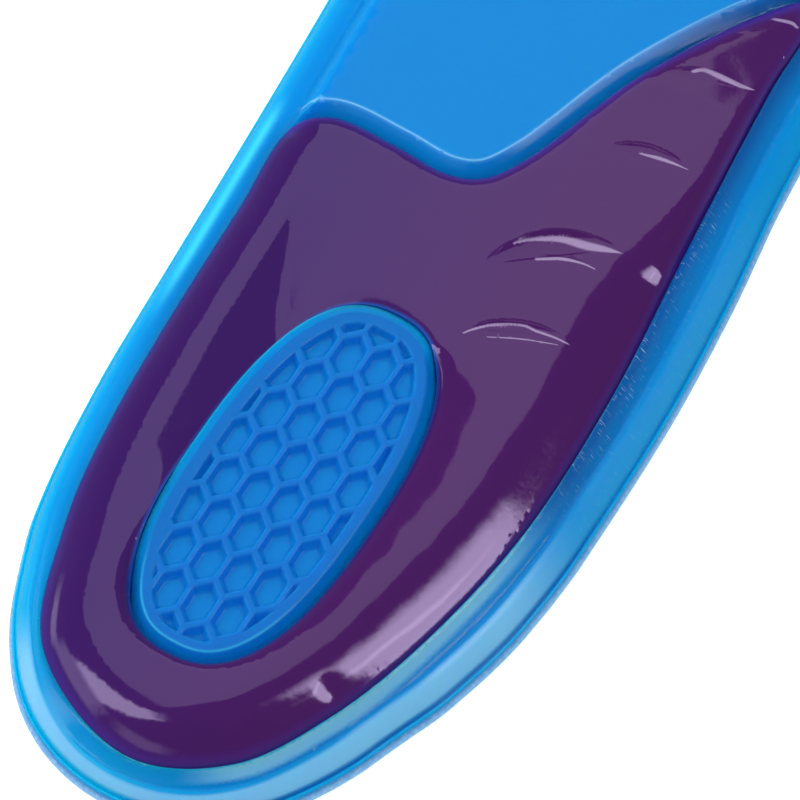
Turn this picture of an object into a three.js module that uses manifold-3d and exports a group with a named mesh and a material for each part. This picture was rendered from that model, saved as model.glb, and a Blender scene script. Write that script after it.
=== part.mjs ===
// A right-hand gel insole lying sole up: a moulded gel body with a heel cup and a honeycomb island, a pad
// of softer gel poured into its tray, and a thin cloth cover on the foot side.
// Millimetres, +Z up, +Y to the toe, +X to the inner side of the foot. While it is worked out, y runs from
// the back of the heel and x from the heel's middle line. The finished group is centred on its own box.
import * as THREE from 'three';
import Module from 'manifold-3d';

const wasm = await Module();
wasm.setup();

// Overall sizes
const LENGTH = 285;
const HEEL_ROUND = 25;
const TOE_ROUND = 58;
const TOE_FULLNESS = 2.25;
const COVER = 1.2;
const COVER_LEAN = 0.5;
const SEAT_GAP = 0.3;
const LIP_THICKNESS = 1.5;
const RIM = COVER + SEAT_GAP;
const LIP_TOP = RIM + LIP_THICKNESS;
const SHELF_WIDTH = 2;

// Tray, pad and island
const TRAY_DEPTH = 1.6;
const STEP_HEIGHT = 2.2;
const STEP_RUN = 1.9;
const PAD_CROWN = 2.3;
const PAD_POINTS = 120;
const PAD_TIP = { y: 147.3, reach: 24, least: 0.15 };
const WINDOW = { x: -3.8, y: 47.1, halfWidth: 13.0, halfLength: 28.3, lean: 3.5, fullness: 2.5, points: 56 };
const ISLAND_RUN = 1.0;
const ISLAND_BORDER = 1.5;

// Honeycomb pits, longer towards the toe than across
const PIT = { x: -2.0, y: 44.0, pitch: 4.33, row: 5.81, wall: 0.85, depth: 2.0, draft: 0.3, sides: 6 };
const LEAST_PIT = 0.09;

// Wrinkles where the pad bends over the arch
const WRINKLE = { width: 1.7, height: 0.55, stations: 8, end: 0.1 };

// Heights that every cutter clears, and how deep a raised form is rooted in what it grows from
const BELOW = -5;
const ABOVE = 40;
const ROOT = 1;

// Fineness of the outline, of the profile along y and of the grid on which corners are shared
const END_STATIONS = 8;
const SIDE_STATIONS = 26;
const PROFILE_STEPS = 72;
const CORNERS_PER_MM = 1e4;

// The middle line that the skins run in to, and the rows on the way
const SPINE = { heel: 24, toe: 48, shares: [0.5, 1] };

const FINISH = {
  blueGel: { color: 0x1e82dc, roughness: 0.25, metalness: 0 },
  purpleGel: { color: 0x411e64, roughness: 0.15, metalness: 0 },
  cloth: { color: 0xbecdf0, roughness: 0.9, metalness: 0 },
};

// Sides of the insole before its two ends are rounded, a row for each station
const SIDES = [
  { y: 0, lateral: -28.7, medial: 21.1 },
  { y: 10, lateral: -28.7, medial: 21.3 },
  { y: 21, lateral: -29.9, medial: 23.2 },
  { y: 32, lateral: -32.7, medial: 27.8 },
  { y: 45, lateral: -34.2, medial: 31.6 },
  { y: 59, lateral: -34.8, medial: 33.5 },
  { y: 86, lateral: -34.9, medial: 34.7 },
  { y: 100, lateral: -35.0, medial: 34.4 },
  { y: 120, lateral: -35.3, medial: 33.2 },
  { y: 140, lateral: -37.2, medial: 33.0 },
  { y: 165, lateral: -41.8, medial: 36.4 },
  { y: 190, lateral: -45.2, medial: 42.0 },
  { y: 212, lateral: -46.0, medial: 45.6 },
  { y: 235, lateral: -43.8, medial: 46.2 },
  { y: 260, lateral: -37.6, medial: 45.2 },
  { y: 285, lateral: -29.0, medial: 42.5 },
];

// Heights of the shelf, of the raised mid-foot and of the hollow for the foot
const HEIGHTS = [
  { y: 0, shelf: 6.6, plateau: 8.3, hollow: 3.6 },
  { y: 20, shelf: 7.7, plateau: 9.9, hollow: 5.0 },
  { y: 45, shelf: 8.5, plateau: 10.7, hollow: 5.75 },
  { y: 97, shelf: 8.5, plateau: 10.7, hollow: 5.75 },
  { y: 125, shelf: 8.1, plateau: 10.2, hollow: 5.0 },
  { y: 150, shelf: 6.9, plateau: 8.4, hollow: 3.6 },
  { y: 176, shelf: 5.1, plateau: 5.4, hollow: 1.9 },
  { y: 196, shelf: 4.4, plateau: 3.9, hollow: RIM },
  { y: 285, shelf: 4.4, plateau: 3.9, hollow: RIM },
];

// Outer wall from the lip to the shelf: inset from the outline and share of the climb
const WALL = [
  { heel: 0.5, lateral: 0.5, medial: 0.5, climb: -0.04 },
  { heel: 1.7, lateral: 2.1, medial: 2.1, climb: 0 },
  { heel: 2.3, lateral: 2.7, medial: 2.8, climb: 0.4 },
  { heel: 3.2, lateral: 3.7, medial: 4.1, climb: 0.8 },
  { heel: 4.3, lateral: 4.9, medial: 5.6, climb: 1 },
];

// Side of the raised mid-foot: its foot in the shelf, then its climb from there
const PLATEAU_EDGE = [
  { heel: 4.6, lateral: 4.7, medial: 6.2, climb: 0 },
  { heel: 5.6, lateral: 5.7, medial: 7.2, climb: 0.55 },
  { heel: 6.8, lateral: 6.9, medial: 8.4, climb: 1 },
];

// Foot side of the gel: inset from the outline and share of the hollow's depth
const FOOT_SIDE = [
  { inset: 2.4, climb: 0 },
  { inset: 5.0, climb: 0.38 },
  { inset: 8.5, climb: 0.78 },
  { inset: 13, climb: 0.97 },
  { inset: 17, climb: 1 },
];

// Edge of the pad, round from the back of the heel by the arch to the front edge and the outer side
const PAD_EDGE = [
  { x: -4.1, y: 4.6 },
  { x: 8.4, y: 9.5 },
  { x: 16.5, y: 20.8 },
  { x: 22.3, y: 35.4 },
  { x: 26.5, y: 54.5 },
  { x: 27.7, y: 77.6 },
  { x: 26.6, y: 103.7 },
  { x: 25.7, y: 129.7 },
  { x: 25.7, y: 141.4 },
  { x: 23.7, y: 144.9 },
  { x: 19.2, y: 140.3 },
  { x: 9.3, y: 123.5 },
  { x: 1.8, y: 104.7 },
  { x: -1.8, y: 99.6 },
  { x: -6.2, y: 98.1 },
  { x: -13.9, y: 98.9 },
  { x: -23.5, y: 99.1 },
  { x: -27.9, y: 95.7 },
  { x: -28.4, y: 81.6 },
  { x: -28.4, y: 47.5 },
  { x: -26.3, y: 29.3 },
  { x: -20.6, y: 13.1 },
];

// Crown of the pad: distance in from its edges and share of the crown's height, which is cut off at 1
const CROWN = [
  { inset: 0, rise: 0 },
  { inset: 0.45, rise: 0.36 },
  { inset: 1.2, rise: 0.7 },
  { inset: 2.2, rise: 0.9 },
  { inset: 3.6, rise: 1.1 },
  { inset: 3.8, rise: 1.35 },
];

// Crescent wrinkles across the arch, each bowed towards the toe
const WRINKLES = [
  { from: [6.7, 77.0], crest: [11.6, 80.7], to: [19.3, 81.7] },
  { from: [4.5, 86.5], crest: [10.2, 95.3], to: [19.6, 97.1] },
  { from: [10.2, 91.3], crest: [13.8, 92.8], to: [17.7, 93.4] },
  { from: [10.6, 110.6], crest: [14.6, 113.0], to: [21.4, 112.6] },
  { from: [12.3, 124.8], crest: [15.7, 127.3], to: [23.3, 127.3] },
  { from: [17.7, 135.4], crest: [20.9, 137.9], to: [23.8, 138.5] },
];

// A table's column as a smooth function of y that never swings past its rows
function smoothColumn(rows, key) {
  const slopes = rows.slice(1).map((row, i) => (row[key] - rows[i][key]) / (row.y - rows[i].y));
  const tangents = rows.map((row, i) => {
    const before = slopes[i - 1] ?? 0;
    const after = slopes[i] ?? 0;
    return before * after > 0 ? (2 * before * after) / (before + after) : 0;
  });
  return (y) => {
    const at = THREE.MathUtils.clamp(y, rows[0].y, rows.at(-1).y);
    const i = Math.min(rows.findLastIndex((row) => row.y <= at), rows.length - 2);
    const span = rows[i + 1].y - rows[i].y;
    const t = (at - rows[i].y) / span;
    const u = 1 - t;
    const start = rows[i][key] * (1 + 2 * t) * u * u + tangents[i] * span * t * u * u;
    const end = rows[i + 1][key] * (3 - 2 * t) * t * t - tangents[i + 1] * span * u * t * t;
    return start + end;
  };
}

const lateralSide = smoothColumn(SIDES, 'lateral');
const medialSide = smoothColumn(SIDES, 'medial');
const shelfHeight = smoothColumn(HEIGHTS, 'shelf');
const plateauHeight = smoothColumn(HEIGHTS, 'plateau');
const hollowHeight = smoothColumn(HEIGHTS, 'hollow');
const middle = (y) => (lateralSide(y) + medialSide(y)) / 2;
const trayFloor = (y) => shelfHeight(y) - TRAY_DEPTH;
const islandTop = (y) => shelfHeight(y) + STEP_HEIGHT;

// Share of the full width that the rounded heel and toe leave at a station
function endRounding(y) {
  const heel = Math.max(0, 1 - y / HEEL_ROUND);
  const toe = Math.max(0, 1 - (LENGTH - y) / TOE_ROUND);
  return Math.sqrt(1 - heel ** 2) * (1 - toe ** TOE_FULLNESS) ** (1 / TOE_FULLNESS);
}

// Stations from heel to toe, closer together round the two ends
function stations(endSteps, sideSteps) {
  const quarter = Array.from({ length: endSteps }, (_, i) => 1 - Math.cos((i / endSteps) * (Math.PI / 2)));
  const sideLength = LENGTH - HEEL_ROUND - TOE_ROUND;
  const heel = quarter.map((share) => share * HEEL_ROUND);
  const side = Array.from({ length: sideSteps + 1 }, (_, i) => HEEL_ROUND + (i / sideSteps) * sideLength);
  const toe = quarter.map((share) => LENGTH - share * TOE_ROUND).reverse();
  return [...heel, ...side, ...toe];
}

// Points of a closed line, anticlockwise from above, with their outward normals
function withNormals(points) {
  return points.map((point, i) => {
    const next = points[(i + 1) % points.length];
    const last = points.at(i - 1);
    const length = Math.hypot(next.x - last.x, next.y - last.y);
    return { x: point.x, y: point.y, nx: (next.y - last.y) / length, ny: (last.x - next.x) / length };
  });
}

function insoleOutline() {
  const rows = stations(END_STATIONS, SIDE_STATIONS);
  const sideX = (side, y) => middle(y) + (side(y) - middle(y)) * endRounding(y);
  const medial = rows.slice(0, -1).map((y) => ({ x: sideX(medialSide, y), y }));
  const lateral = rows.slice(1).map((y) => ({ x: sideX(lateralSide, y), y })).reverse();
  return withNormals([...medial, ...lateral]);
}

const OUTLINE = insoleOutline();

function padOutline() {
  const curve = new THREE.CatmullRomCurve3(
    PAD_EDGE.map(({ x, y }) => new THREE.Vector3(x, y, 0)), true, 'centripetal');
  return withNormals(curve.getSpacedPoints(PAD_POINTS).slice(0, -1));
}

// The oval window, a superellipse leaning to the inner side at its toe end
function windowOutline() {
  const lean = THREE.MathUtils.degToRad(WINDOW.lean);
  const power = 2 / WINDOW.fullness;
  const round = (value) => Math.sign(value) * Math.abs(value) ** power;
  const points = Array.from({ length: WINDOW.points }, (_, i) => {
    const angle = (i / WINDOW.points) * 2 * Math.PI;
    const across = WINDOW.halfWidth * round(Math.cos(angle));
    const along = WINDOW.halfLength * round(Math.sin(angle));
    return {
      x: WINDOW.x + across * Math.cos(lean) + along * Math.sin(lean),
      y: WINDOW.y + along * Math.cos(lean) - across * Math.sin(lean),
    };
  });
  return withNormals(points);
}

const PAD_LINE = padOutline();
const WINDOW_LINE = windowOutline();

// A ring of points inset from a closed line, at a height that may follow y
function ring(line, inset, height) {
  return line.map((point) => {
    const distance = typeof inset === 'function' ? inset(point) : inset;
    const y = point.y - point.ny * distance;
    const z = typeof height === 'function' ? height(y, point) : height;
    return [point.x - point.nx * distance, y, z];
  });
}

// A closed solid from corner points and faces, with equal corners shared
function solid(points, faces) {
  const places = new Map();
  const corners = [];
  const index = points.map((point) => {
    const key = point.map((value) => Math.round(value * CORNERS_PER_MM)).join(' ');
    if (!places.has(key)) {
      places.set(key, corners.length / 3);
      corners.push(...point);
    }
    return places.get(key);
  });
  const triangles = faces.map((face) => face.map((corner) => index[corner]));
  const whole = triangles.filter(([a, b, c]) => a !== b && b !== c && c !== a);
  return new wasm.Manifold(new wasm.Mesh({
    numProp: 3,
    vertProperties: new Float32Array(corners),
    triVerts: new Uint32Array(whole.flat()),
  }));
}

// Faces between rings of the same size, each ring joined to the next
function bands(rings) {
  const size = rings[0].length;
  const faces = [];
  for (let j = 0; j < rings.length - 1; j += 1) {
    for (let i = 0; i < size; i += 1) {
      const a = j * size + i;
      const b = j * size + ((i + 1) % size);
      faces.push([a, b, b + size], [a, b + size, a + size]);
    }
  }
  return faces;
}

// Rings joined in order; the first and last are closed by flat caps unless they fall in on a line
function loft(rings, capped) {
  const size = rings[0].length;
  const faces = bands(rings);
  if (capped) {
    const cap = THREE.ShapeUtils.triangulateShape(rings[0].map(([x, y]) => new THREE.Vector2(x, y)), []);
    const last = (rings.length - 1) * size;
    cap.forEach(([a, b, c]) => faces.push([a, c, b], [last + a, last + b, last + c]));
  }
  return solid(rings.flat(), faces);
}

// Rings that run in from an inset of the outline to the insole's middle line
function towardsSpine(inset, height) {
  const edge = ring(OUTLINE, inset, 0);
  return SPINE.shares.map((share) => edge.map(([x, y], i) => {
    const spineY = THREE.MathUtils.clamp(OUTLINE[i].y, SPINE.heel, LENGTH - SPINE.toe);
    const at = THREE.MathUtils.lerp(y, spineY, share);
    return [THREE.MathUtils.lerp(x, middle(spineY), share), at, height(at)];
  }));
}

// Inset of a row, between its heel, outer and inner values by the way the outline faces
function sideInset(row) {
  return ({ y, nx, ny }) => {
    const heel = y < LENGTH / 2 ? Math.max(0, -ny) ** 2 : 0;
    const side = THREE.MathUtils.lerp(row.lateral, row.medial, (1 + nx) / 2);
    return THREE.MathUtils.lerp(side, row.heel, heel);
  };
}

// Foot-side skin from the middle line out to the lip, lowered by a drop
function footSide(drop, lean) {
  const height = (climb) => (y) => RIM + climb * (hollowHeight(y) - RIM) - drop;
  const rings = FOOT_SIDE.map(({ inset, climb }) => {
    const sloped = climb > 0 && climb < 1;
    return ring(OUTLINE, inset + (sloped ? lean : 0), height(climb));
  });
  return [...rings, ...towardsSpine(FOOT_SIDE.at(-1).inset, height(1))].reverse();
}

function gelBody() {
  const wallHeight = (climb) => (y) => LIP_TOP + climb * (shelfHeight(y) - LIP_TOP);
  const lip = ring(OUTLINE, WALL[0].lateral, RIM);
  const wall = WALL.map((row) => ring(OUTLINE, sideInset(row), wallHeight(row.climb)));
  const shelfInset = (point) => sideInset(WALL.at(-1))(point) + SHELF_WIDTH;
  const shelf = ring(OUTLINE, shelfInset, shelfHeight);
  const top = towardsSpine(shelfInset, shelfHeight);
  return loft([...footSide(0, 0), lip, ...wall, shelf, ...top], false);
}

function raisedMidFoot() {
  const height = (climb) => (y) => shelfHeight(y) + climb * (plateauHeight(y) - shelfHeight(y));
  const buried = (y) => shelfHeight(y) - ROOT;
  const [foot, ...climbing] = PLATEAU_EDGE;
  const side = climbing.map((row) => ring(OUTLINE, sideInset(row), height(row.climb)));
  const top = towardsSpine(sideInset(PLATEAU_EDGE.at(-1)), height(1));
  const under = towardsSpine(sideInset(foot), buried).reverse();
  return loft([...under, ring(OUTLINE, sideInset(foot), buried), ...side, ...top], false);
}

// Everything between two heights that follow y, drawn across the whole width
function between(low, high) {
  const rows = Array.from({ length: PROFILE_STEPS + 1 }, (_, i) => (i / PROFILE_STEPS) * LENGTH);
  const under = rows.map((y) => new THREE.Vector2(y, low(y)));
  const over = rows.map((y) => new THREE.Vector2(y, high(y))).reverse();
  const geometry = new THREE.ExtrudeGeometry(
    new THREE.Shape([...under, ...over]), { depth: LENGTH, bevelEnabled: false });
  geometry.translate(0, 0, -LENGTH / 2);
  const turn = new THREE.Matrix4().makeBasis(
    new THREE.Vector3(0, 1, 0), new THREE.Vector3(0, 0, 1), new THREE.Vector3(1, 0, 0));
  return fromGeometry(geometry.applyMatrix4(turn));
}

function fromGeometry(geometry) {
  const places = geometry.getAttribute('position');
  const corner = new THREE.Vector3();
  const indices = Array.from({ length: places.count }, (_, i) => i);
  const points = indices.map((i) => corner.fromBufferAttribute(places, i).toArray());
  const faces = Array.from({ length: places.count / 3 }, (_, i) => [3 * i, 3 * i + 1, 3 * i + 2]);
  return solid(points, faces);
}

// The tray: the pad's outline with its gap, opening at a slope above the shelf
function tray() {
  const wide = -SEAT_GAP - STEP_RUN;
  const cutter = loft([
    ring(PAD_LINE, -SEAT_GAP, BELOW),
    ring(PAD_LINE, -SEAT_GAP, shelfHeight),
    ring(PAD_LINE, wide, (y) => shelfHeight(y) + STEP_HEIGHT),
    ring(PAD_LINE, wide, ABOVE),
  ], true);
  return cutter.intersect(between(trayFloor, () => ABOVE));
}

// The oval island, its top closed along the line halfway between each rim point and its mirror point
function island() {
  const border = SEAT_GAP + ISLAND_RUN;
  const rim = ring(WINDOW_LINE, border, 0);
  const across = (share, height) => rim.map(([x, y], i) => {
    const [farX, farY] = rim[(WINDOW.points * 1.5 - i) % WINDOW.points];
    const at = THREE.MathUtils.lerp(y, (y + farY) / 2, share);
    return [THREE.MathUtils.lerp(x, (x + farX) / 2, share), at, height(at)];
  });
  const buried = (y) => trayFloor(y) - ROOT;
  return loft([
    across(1, buried),
    ring(WINDOW_LINE, SEAT_GAP, buried),
    ring(WINDOW_LINE, SEAT_GAP, shelfHeight),
    ring(WINDOW_LINE, border, islandTop),
    ...SPINE.shares.map((share) => across(share, islandTop)),
  ], false);
}

// One six-sided pit, narrowing downwards, with its points towards heel and toe
function pit(x, y) {
  const hexagon = (shrink, z) => Array.from({ length: PIT.sides }, (_, i) => {
    const angle = ((i + 0.5) / PIT.sides) * 2 * Math.PI;
    const radius = (PIT.pitch - PIT.wall) / Math.sqrt(3) - shrink;
    const stretch = PIT.row / (PIT.pitch * Math.sin(Math.PI / 3));
    return [x + radius * Math.cos(angle), y + radius * stretch * Math.sin(angle), z];
  });
  const top = islandTop(y);
  return loft([hexagon(PIT.draft, top - PIT.depth), hexagon(0, top), hexagon(0, ABOVE)], true);
}

// The honeycomb: leaning rows of pits, every other row moved half a pitch, cut off at the island's border
function honeycomb() {
  const border = SEAT_GAP + ISLAND_RUN + ISLAND_BORDER;
  const field = loft([ring(WINDOW_LINE, border, BELOW), ring(WINDOW_LINE, border, ABOVE)], true);
  const lean = Math.tan(THREE.MathUtils.degToRad(WINDOW.lean));
  const rows = Math.ceil(WINDOW.halfLength / PIT.row);
  const columns = Math.ceil(WINDOW.halfWidth / PIT.pitch);
  const pits = [];
  for (let row = -rows; row <= rows; row += 1) {
    for (let column = -columns; column <= columns; column += 1) {
      const y = PIT.y + row * PIT.row;
      const x = PIT.x + (column + (row % 2 === 0 ? 0 : 0.5)) * PIT.pitch + row * PIT.row * lean;
      const whole = pit(x, y);
      const kept = whole.intersect(field);
      if (kept.volume() > LEAST_PIT * whole.volume()) {
        pits.push(kept);
      }
    }
  }
  return pits.reduce((all, cell) => all.add(cell));
}

// Share of the crown left where the arm narrows to its tip
const padTaper = (y) => THREE.MathUtils.clamp((PAD_TIP.y - y) / PAD_TIP.reach, PAD_TIP.least, 1);
const padHeight = (rise) => (y) => shelfHeight(y) + PAD_CROWN * rise * padTaper(y);

// A low ridge along an arc, tapering to both ends
function wrinkle({ from, crest, to }) {
  const control = [0, 1].map((k) => 2 * crest[k] - (from[k] + to[k]) / 2);
  const arc = new THREE.QuadraticBezierCurve(
    new THREE.Vector2(...from), new THREE.Vector2(...control), new THREE.Vector2(...to));
  const rings = [];
  for (let i = 0; i <= WRINKLE.stations; i += 1) {
    const share = i / WRINKLE.stations;
    const swell = Math.max(WRINKLE.end, Math.sin(Math.PI * share));
    const { x, y } = arc.getPoint(share);
    const across = arc.getTangent(share).rotateAround(new THREE.Vector2(), Math.PI / 2);
    const half = (WRINKLE.width / 2) * swell;
    const z = padHeight(1)(y);
    const place = (side, lift) => [x + across.x * side, y + across.y * side, z + lift];
    rings.push([
      place(half, -ROOT),
      place(half, 0),
      place(0, WRINKLE.height * swell),
      place(-half, 0),
      place(-half, -ROOT),
    ]);
  }
  const size = rings[0].length;
  const last = WRINKLE.stations * size;
  const faces = bands(rings);
  for (let i = 1; i < size - 1; i += 1) {
    faces.push([0, i + 1, i], [last, last + i, last + i + 1]);
  }
  return solid(rings.flat(), faces);
}

// The poured pad: walls up from the tray's floor, a crowned border round both edges and a smooth middle
function pouredPad() {
  const outer = [
    ring(PAD_LINE, 0, BELOW),
    ...CROWN.map(({ inset, rise }) => ring(PAD_LINE, ({ y }) => inset * padTaper(y), padHeight(rise))),
  ];
  const inner = [
    ring(WINDOW_LINE, 0, BELOW),
    ...CROWN.map(({ inset, rise }) => ring(WINDOW_LINE, -inset, padHeight(rise))),
  ];
  const innerStart = outer.length * PAD_POINTS;
  const innerBands = bands(inner).map(([a, b, c]) => [a, c, b].map((corner) => corner + innerStart));
  const flat = (line) => line.map(([x, y]) => new THREE.Vector2(x, y));
  const sheet = (level) => {
    const corners = THREE.ShapeUtils.triangulateShape(flat(outer.at(level)), [flat(inner.at(level))]);
    const outerAt = (outer.length + level) % outer.length * PAD_POINTS;
    const innerAt = innerStart + (inner.length + level) % inner.length * WINDOW.points;
    return corners.map((face) => face.map((k) => (k < PAD_POINTS ? outerAt + k : innerAt + k - PAD_POINTS)));
  };
  const underside = sheet(0).map(([a, b, c]) => [a, c, b]);
  const faces = [...bands(outer), ...innerBands, ...sheet(-1), ...underside];
  const full = solid([...outer.flat(), ...inner.flat()], faces);
  const poured = full.intersect(between((y) => trayFloor(y) + SEAT_GAP, padHeight(1)));
  return WRINKLES.reduce((pad, row) => pad.add(wrinkle(row)), poured);
}

function clothCover() {
  const foot = footSide(RIM, COVER_LEAN);
  const gelSide = footSide(SEAT_GAP, 0).reverse();
  return loft([...foot, ring(OUTLINE, 0, 0), ring(OUTLINE, 0, COVER), ...gelSide], false);
}

function piece(name, shape, finish) {
  const mesh = shape.getMesh();
  const geometry = new THREE.BufferGeometry();
  geometry.setAttribute('position', new THREE.BufferAttribute(new Float32Array(mesh.vertProperties), 3));
  geometry.setIndex(Array.from(mesh.triVerts));
  geometry.computeVertexNormals();
  const made = new THREE.Mesh(geometry, new THREE.MeshStandardMaterial(finish));
  made.name = name;
  return made;
}

const gelBase = gelBody().add(raisedMidFoot()).subtract(tray()).add(island()).subtract(honeycomb());
const widths = OUTLINE.map(({ x }) => x);

const insole = new THREE.Group();
insole.add(piece('gel_base', gelBase, FINISH.blueGel));
insole.add(piece('heel_arch_pad', pouredPad(), FINISH.purpleGel));
insole.add(piece('top_cover', clothCover(), FINISH.cloth));
insole.position.set(-(Math.min(...widths) + Math.max(...widths)) / 2, -LENGTH / 2, 0);

export default insole;
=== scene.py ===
"""A right-hand gel insole lying sole up: moulded blue gel, a poured purple pad and a cloth cover."""

import math

import bmesh
import bpy
import numpy as np
from bpy.props import FloatProperty, FloatVectorProperty, IntProperty, PointerProperty
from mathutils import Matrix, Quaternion, Vector, noise
from mathutils.geometry import delaunay_2d_cdt
from mathutils.kdtree import KDTree


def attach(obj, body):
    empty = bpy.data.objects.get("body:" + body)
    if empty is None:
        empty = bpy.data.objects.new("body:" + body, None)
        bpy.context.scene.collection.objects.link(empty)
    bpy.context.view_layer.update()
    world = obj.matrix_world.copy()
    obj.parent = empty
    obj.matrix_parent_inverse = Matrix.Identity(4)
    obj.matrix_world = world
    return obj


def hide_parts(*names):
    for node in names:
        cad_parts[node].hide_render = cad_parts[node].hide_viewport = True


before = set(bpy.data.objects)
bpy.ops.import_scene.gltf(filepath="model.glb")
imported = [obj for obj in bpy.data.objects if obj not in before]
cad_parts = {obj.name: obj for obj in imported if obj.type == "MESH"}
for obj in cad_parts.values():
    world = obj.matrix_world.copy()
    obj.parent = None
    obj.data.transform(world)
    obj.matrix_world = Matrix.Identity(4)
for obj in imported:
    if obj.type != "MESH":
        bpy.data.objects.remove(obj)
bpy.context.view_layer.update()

bl_info = {
    "name": "Gel insole",
    "version": (1, 0, 0),
    "blender": (4, 5, 0),
    "location": "View3D > Sidebar > Insole",
    "description": "Builds a gel insole with a honeycomb heel island, a poured pad and a cloth cover",
    "category": "Object",
}

MM = 0.001
# Rows of a triangular grid are this share of its step apart.
ROW_SHARE = math.sqrt(0.75)
# Metres under which points are one, and under which an edge is nothing.
SAME_PLACE = 2e-6
LEAST_EDGE = 1e-6

# Tables are in millimetres: x from the heel's middle line to the inner side, y from the heel end.
ORIGIN = np.array((-0.0575, -142.5))
LENGTH = 285.0
HEEL_ROUND = 25.0
TOE_ROUND = 58.0
TOE_FULLNESS = 2.25
END_STATIONS = 36
SIDE_STATIONS = 150
SPINE_HEEL = 24.0
SPINE_TOE = 48.0

COVER = 1.2
# The cloth's cut edge from the floor up: inset from the outline and height.
COVER_EDGE = ((0.75, 0.0), (0.3, 0.08), (0.08, 0.3), (0.0, 0.7), (0.1, 1.0), (0.4, COVER))
FIBRE_HEIGHT = 0.75
FIBRE_SPREAD = 0.35
FIBRE_SEED = 7
# A fibre's middle and end as shares of its length, its sway in radians and its share of the longest.
FIBRE_BEND = ((0.2, 0, 0.55), (0, 0.2, 1))
FIBRE_SWAY = ((-1.1, -1.1, -3.1), (1.1, 1.1, 3.1))
FIBRE_SIZES = (0.35, 1.0)
LIP_TOP = 3.0
RIM = 1.5

TRAY_DEPTH = 1.6
STEP_HEIGHT = 2.2
PAD_POINTS = 440
PAD_TIP = 147.3
PAD_REACH = 24.0
PAD_LEAST = 0.15
PAD_SEAT = 0.1

WINDOW_CENTRE = (-3.8, 47.1)
WINDOW_HALF = (13.0, 28.3)
WINDOW_LEAN = 3.5
WINDOW_FULLNESS = 2.5
WINDOW_POINTS = 220
WINDOW_STEPS = 720
ISLAND_BORDER = 2.7
PIT_CENTRE = (-2.0, 44.0)
PIT_STEPS = 14

# Where the meshes have points: rings in from the wall's shoulder, out from the pad, in from the pad's edge
# and out from the window, and grids with their low and high corners and their step.
SHOULDER_RINGS = (0.2, 0.4, 0.6, 0.85, 1.1, 1.4, 1.75, 2.1, 2.5, 3.0, 3.5, 4.1, 5)
STEP_RINGS = (0.15, 0.27, 0.4, 0.6, 0.85, 1.1, 1.4, 1.7, 1.98, 2.08, 2.15, 2.22, 2.32, 2.5, 2.8)
PAD_RINGS = (0.15, 0.3, 0.5, 0.75, 1.05, 1.4, 1.8, 2.3, 2.9, 3.6, 4.4, 5.3)
WINDOW_RINGS = (0.06, 0.13, 0.22, 0.35, 0.55, 0.8, 1.1, 1.5, 2.0, 2.6)
PLATEAU_GRID = ((-50, 90), (50, LENGTH), 2.0)
TRAY_GRID = ((-40, 0), (40, 150), 4.0)
PAD_GRID = ((-40, 0), (40, 150), 0.9)
COMB_BOX = ((-40, -40), (40, 40))
# How close two points have to be for the fill to make them one, and how far points keep from the edges that
# they lie between.
FILL_CLOSE = 1e-6
RING_CLEAR = (0.12, 0.1)
TRAY_CLEAR = 0.6
COMB_CLEAR = 1.85
PAD_CLEAR = (0.08, 0.05)
# The tray's wall, as insets of the pad's line.
TRAY_SIDE = (-0.02, 0.04)
# Angles in degrees past which an edge is sharp.
BASE_SHARP = 60
PAD_SHARP = 50
COVER_SHARP = 60


def table(columns, *rows):
    """Rows of numbers as one array per named column."""
    return dict(zip(columns.split(), np.array(rows, float).T))


SIDES = table(
    "y lateral medial",
    (0, -28.7, 21.1), (10, -28.7, 21.3), (21, -29.9, 23.2), (32, -32.7, 27.8),
    (45, -34.2, 31.6), (59, -34.8, 33.5), (86, -34.9, 34.7), (100, -35.0, 34.4),
    (120, -35.3, 33.2), (140, -37.2, 33.0), (165, -41.8, 36.4), (190, -45.2, 42.0),
    (212, -46.0, 45.6), (235, -43.8, 46.2), (260, -37.6, 45.2), (285, -29.0, 42.5))

HEIGHTS = table(
    "y shelf plateau hollow",
    (0, 6.6, 8.3, 3.6), (20, 7.7, 9.9, 5.0), (45, 8.5, 10.7, 5.75), (97, 8.5, 10.7, 5.75),
    (125, 8.1, 10.2, 5.0), (150, 6.9, 8.4, 3.6), (176, 5.1, 5.4, 1.9), (196, 4.4, 3.9, RIM),
    (285, 4.4, 3.9, RIM))

# The wall from the cloth up: inset from the outline, share of the climb from the lip to the shelf on the
# grooved sides and on the round outer side, and a lift on top of it.
WALL = table(
    "heel lateral medial climb bulge lift",
    (0.90, 0.90, 0.90, 0.00, 0.00, -1.50), (0.55, 0.55, 0.55, 0.00, 0.00, -1.46),
    (0.44, 0.44, 0.44, 0.00, 0.00, -1.25), (0.42, 0.42, 0.42, 0.00, 0.00, -0.90),
    (0.46, 0.46, 0.46, 0.00, 0.00, -0.55), (0.56, 0.57, 0.57, 0.00, 0.00, -0.42),
    (0.66, 0.69, 0.69, 0.00, 0.00, -0.44), (0.75, 0.82, 0.82, 0.00, 0.00, -0.52),
    (0.86, 0.98, 0.98, 0.00, 0.07, -0.34), (1.10, 1.28, 1.38, 0.07, 0.24, -0.22),
    (1.48, 1.80, 2.10, 0.22, 0.50, -0.10), (1.90, 2.35, 2.85, 0.40, 0.67, 0.00),
    (2.25, 3.05, 3.45, 0.505, 0.78, 0.00), (2.45, 3.55, 3.80, 0.535, 0.82, 0.00))
WALL_STEPS = 2

FOOT_SIDE = table("inset climb", (0.9, 0), (2.4, 0), (5.0, 0.38), (8.5, 0.78), (13, 0.97), (17, 1))

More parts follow.
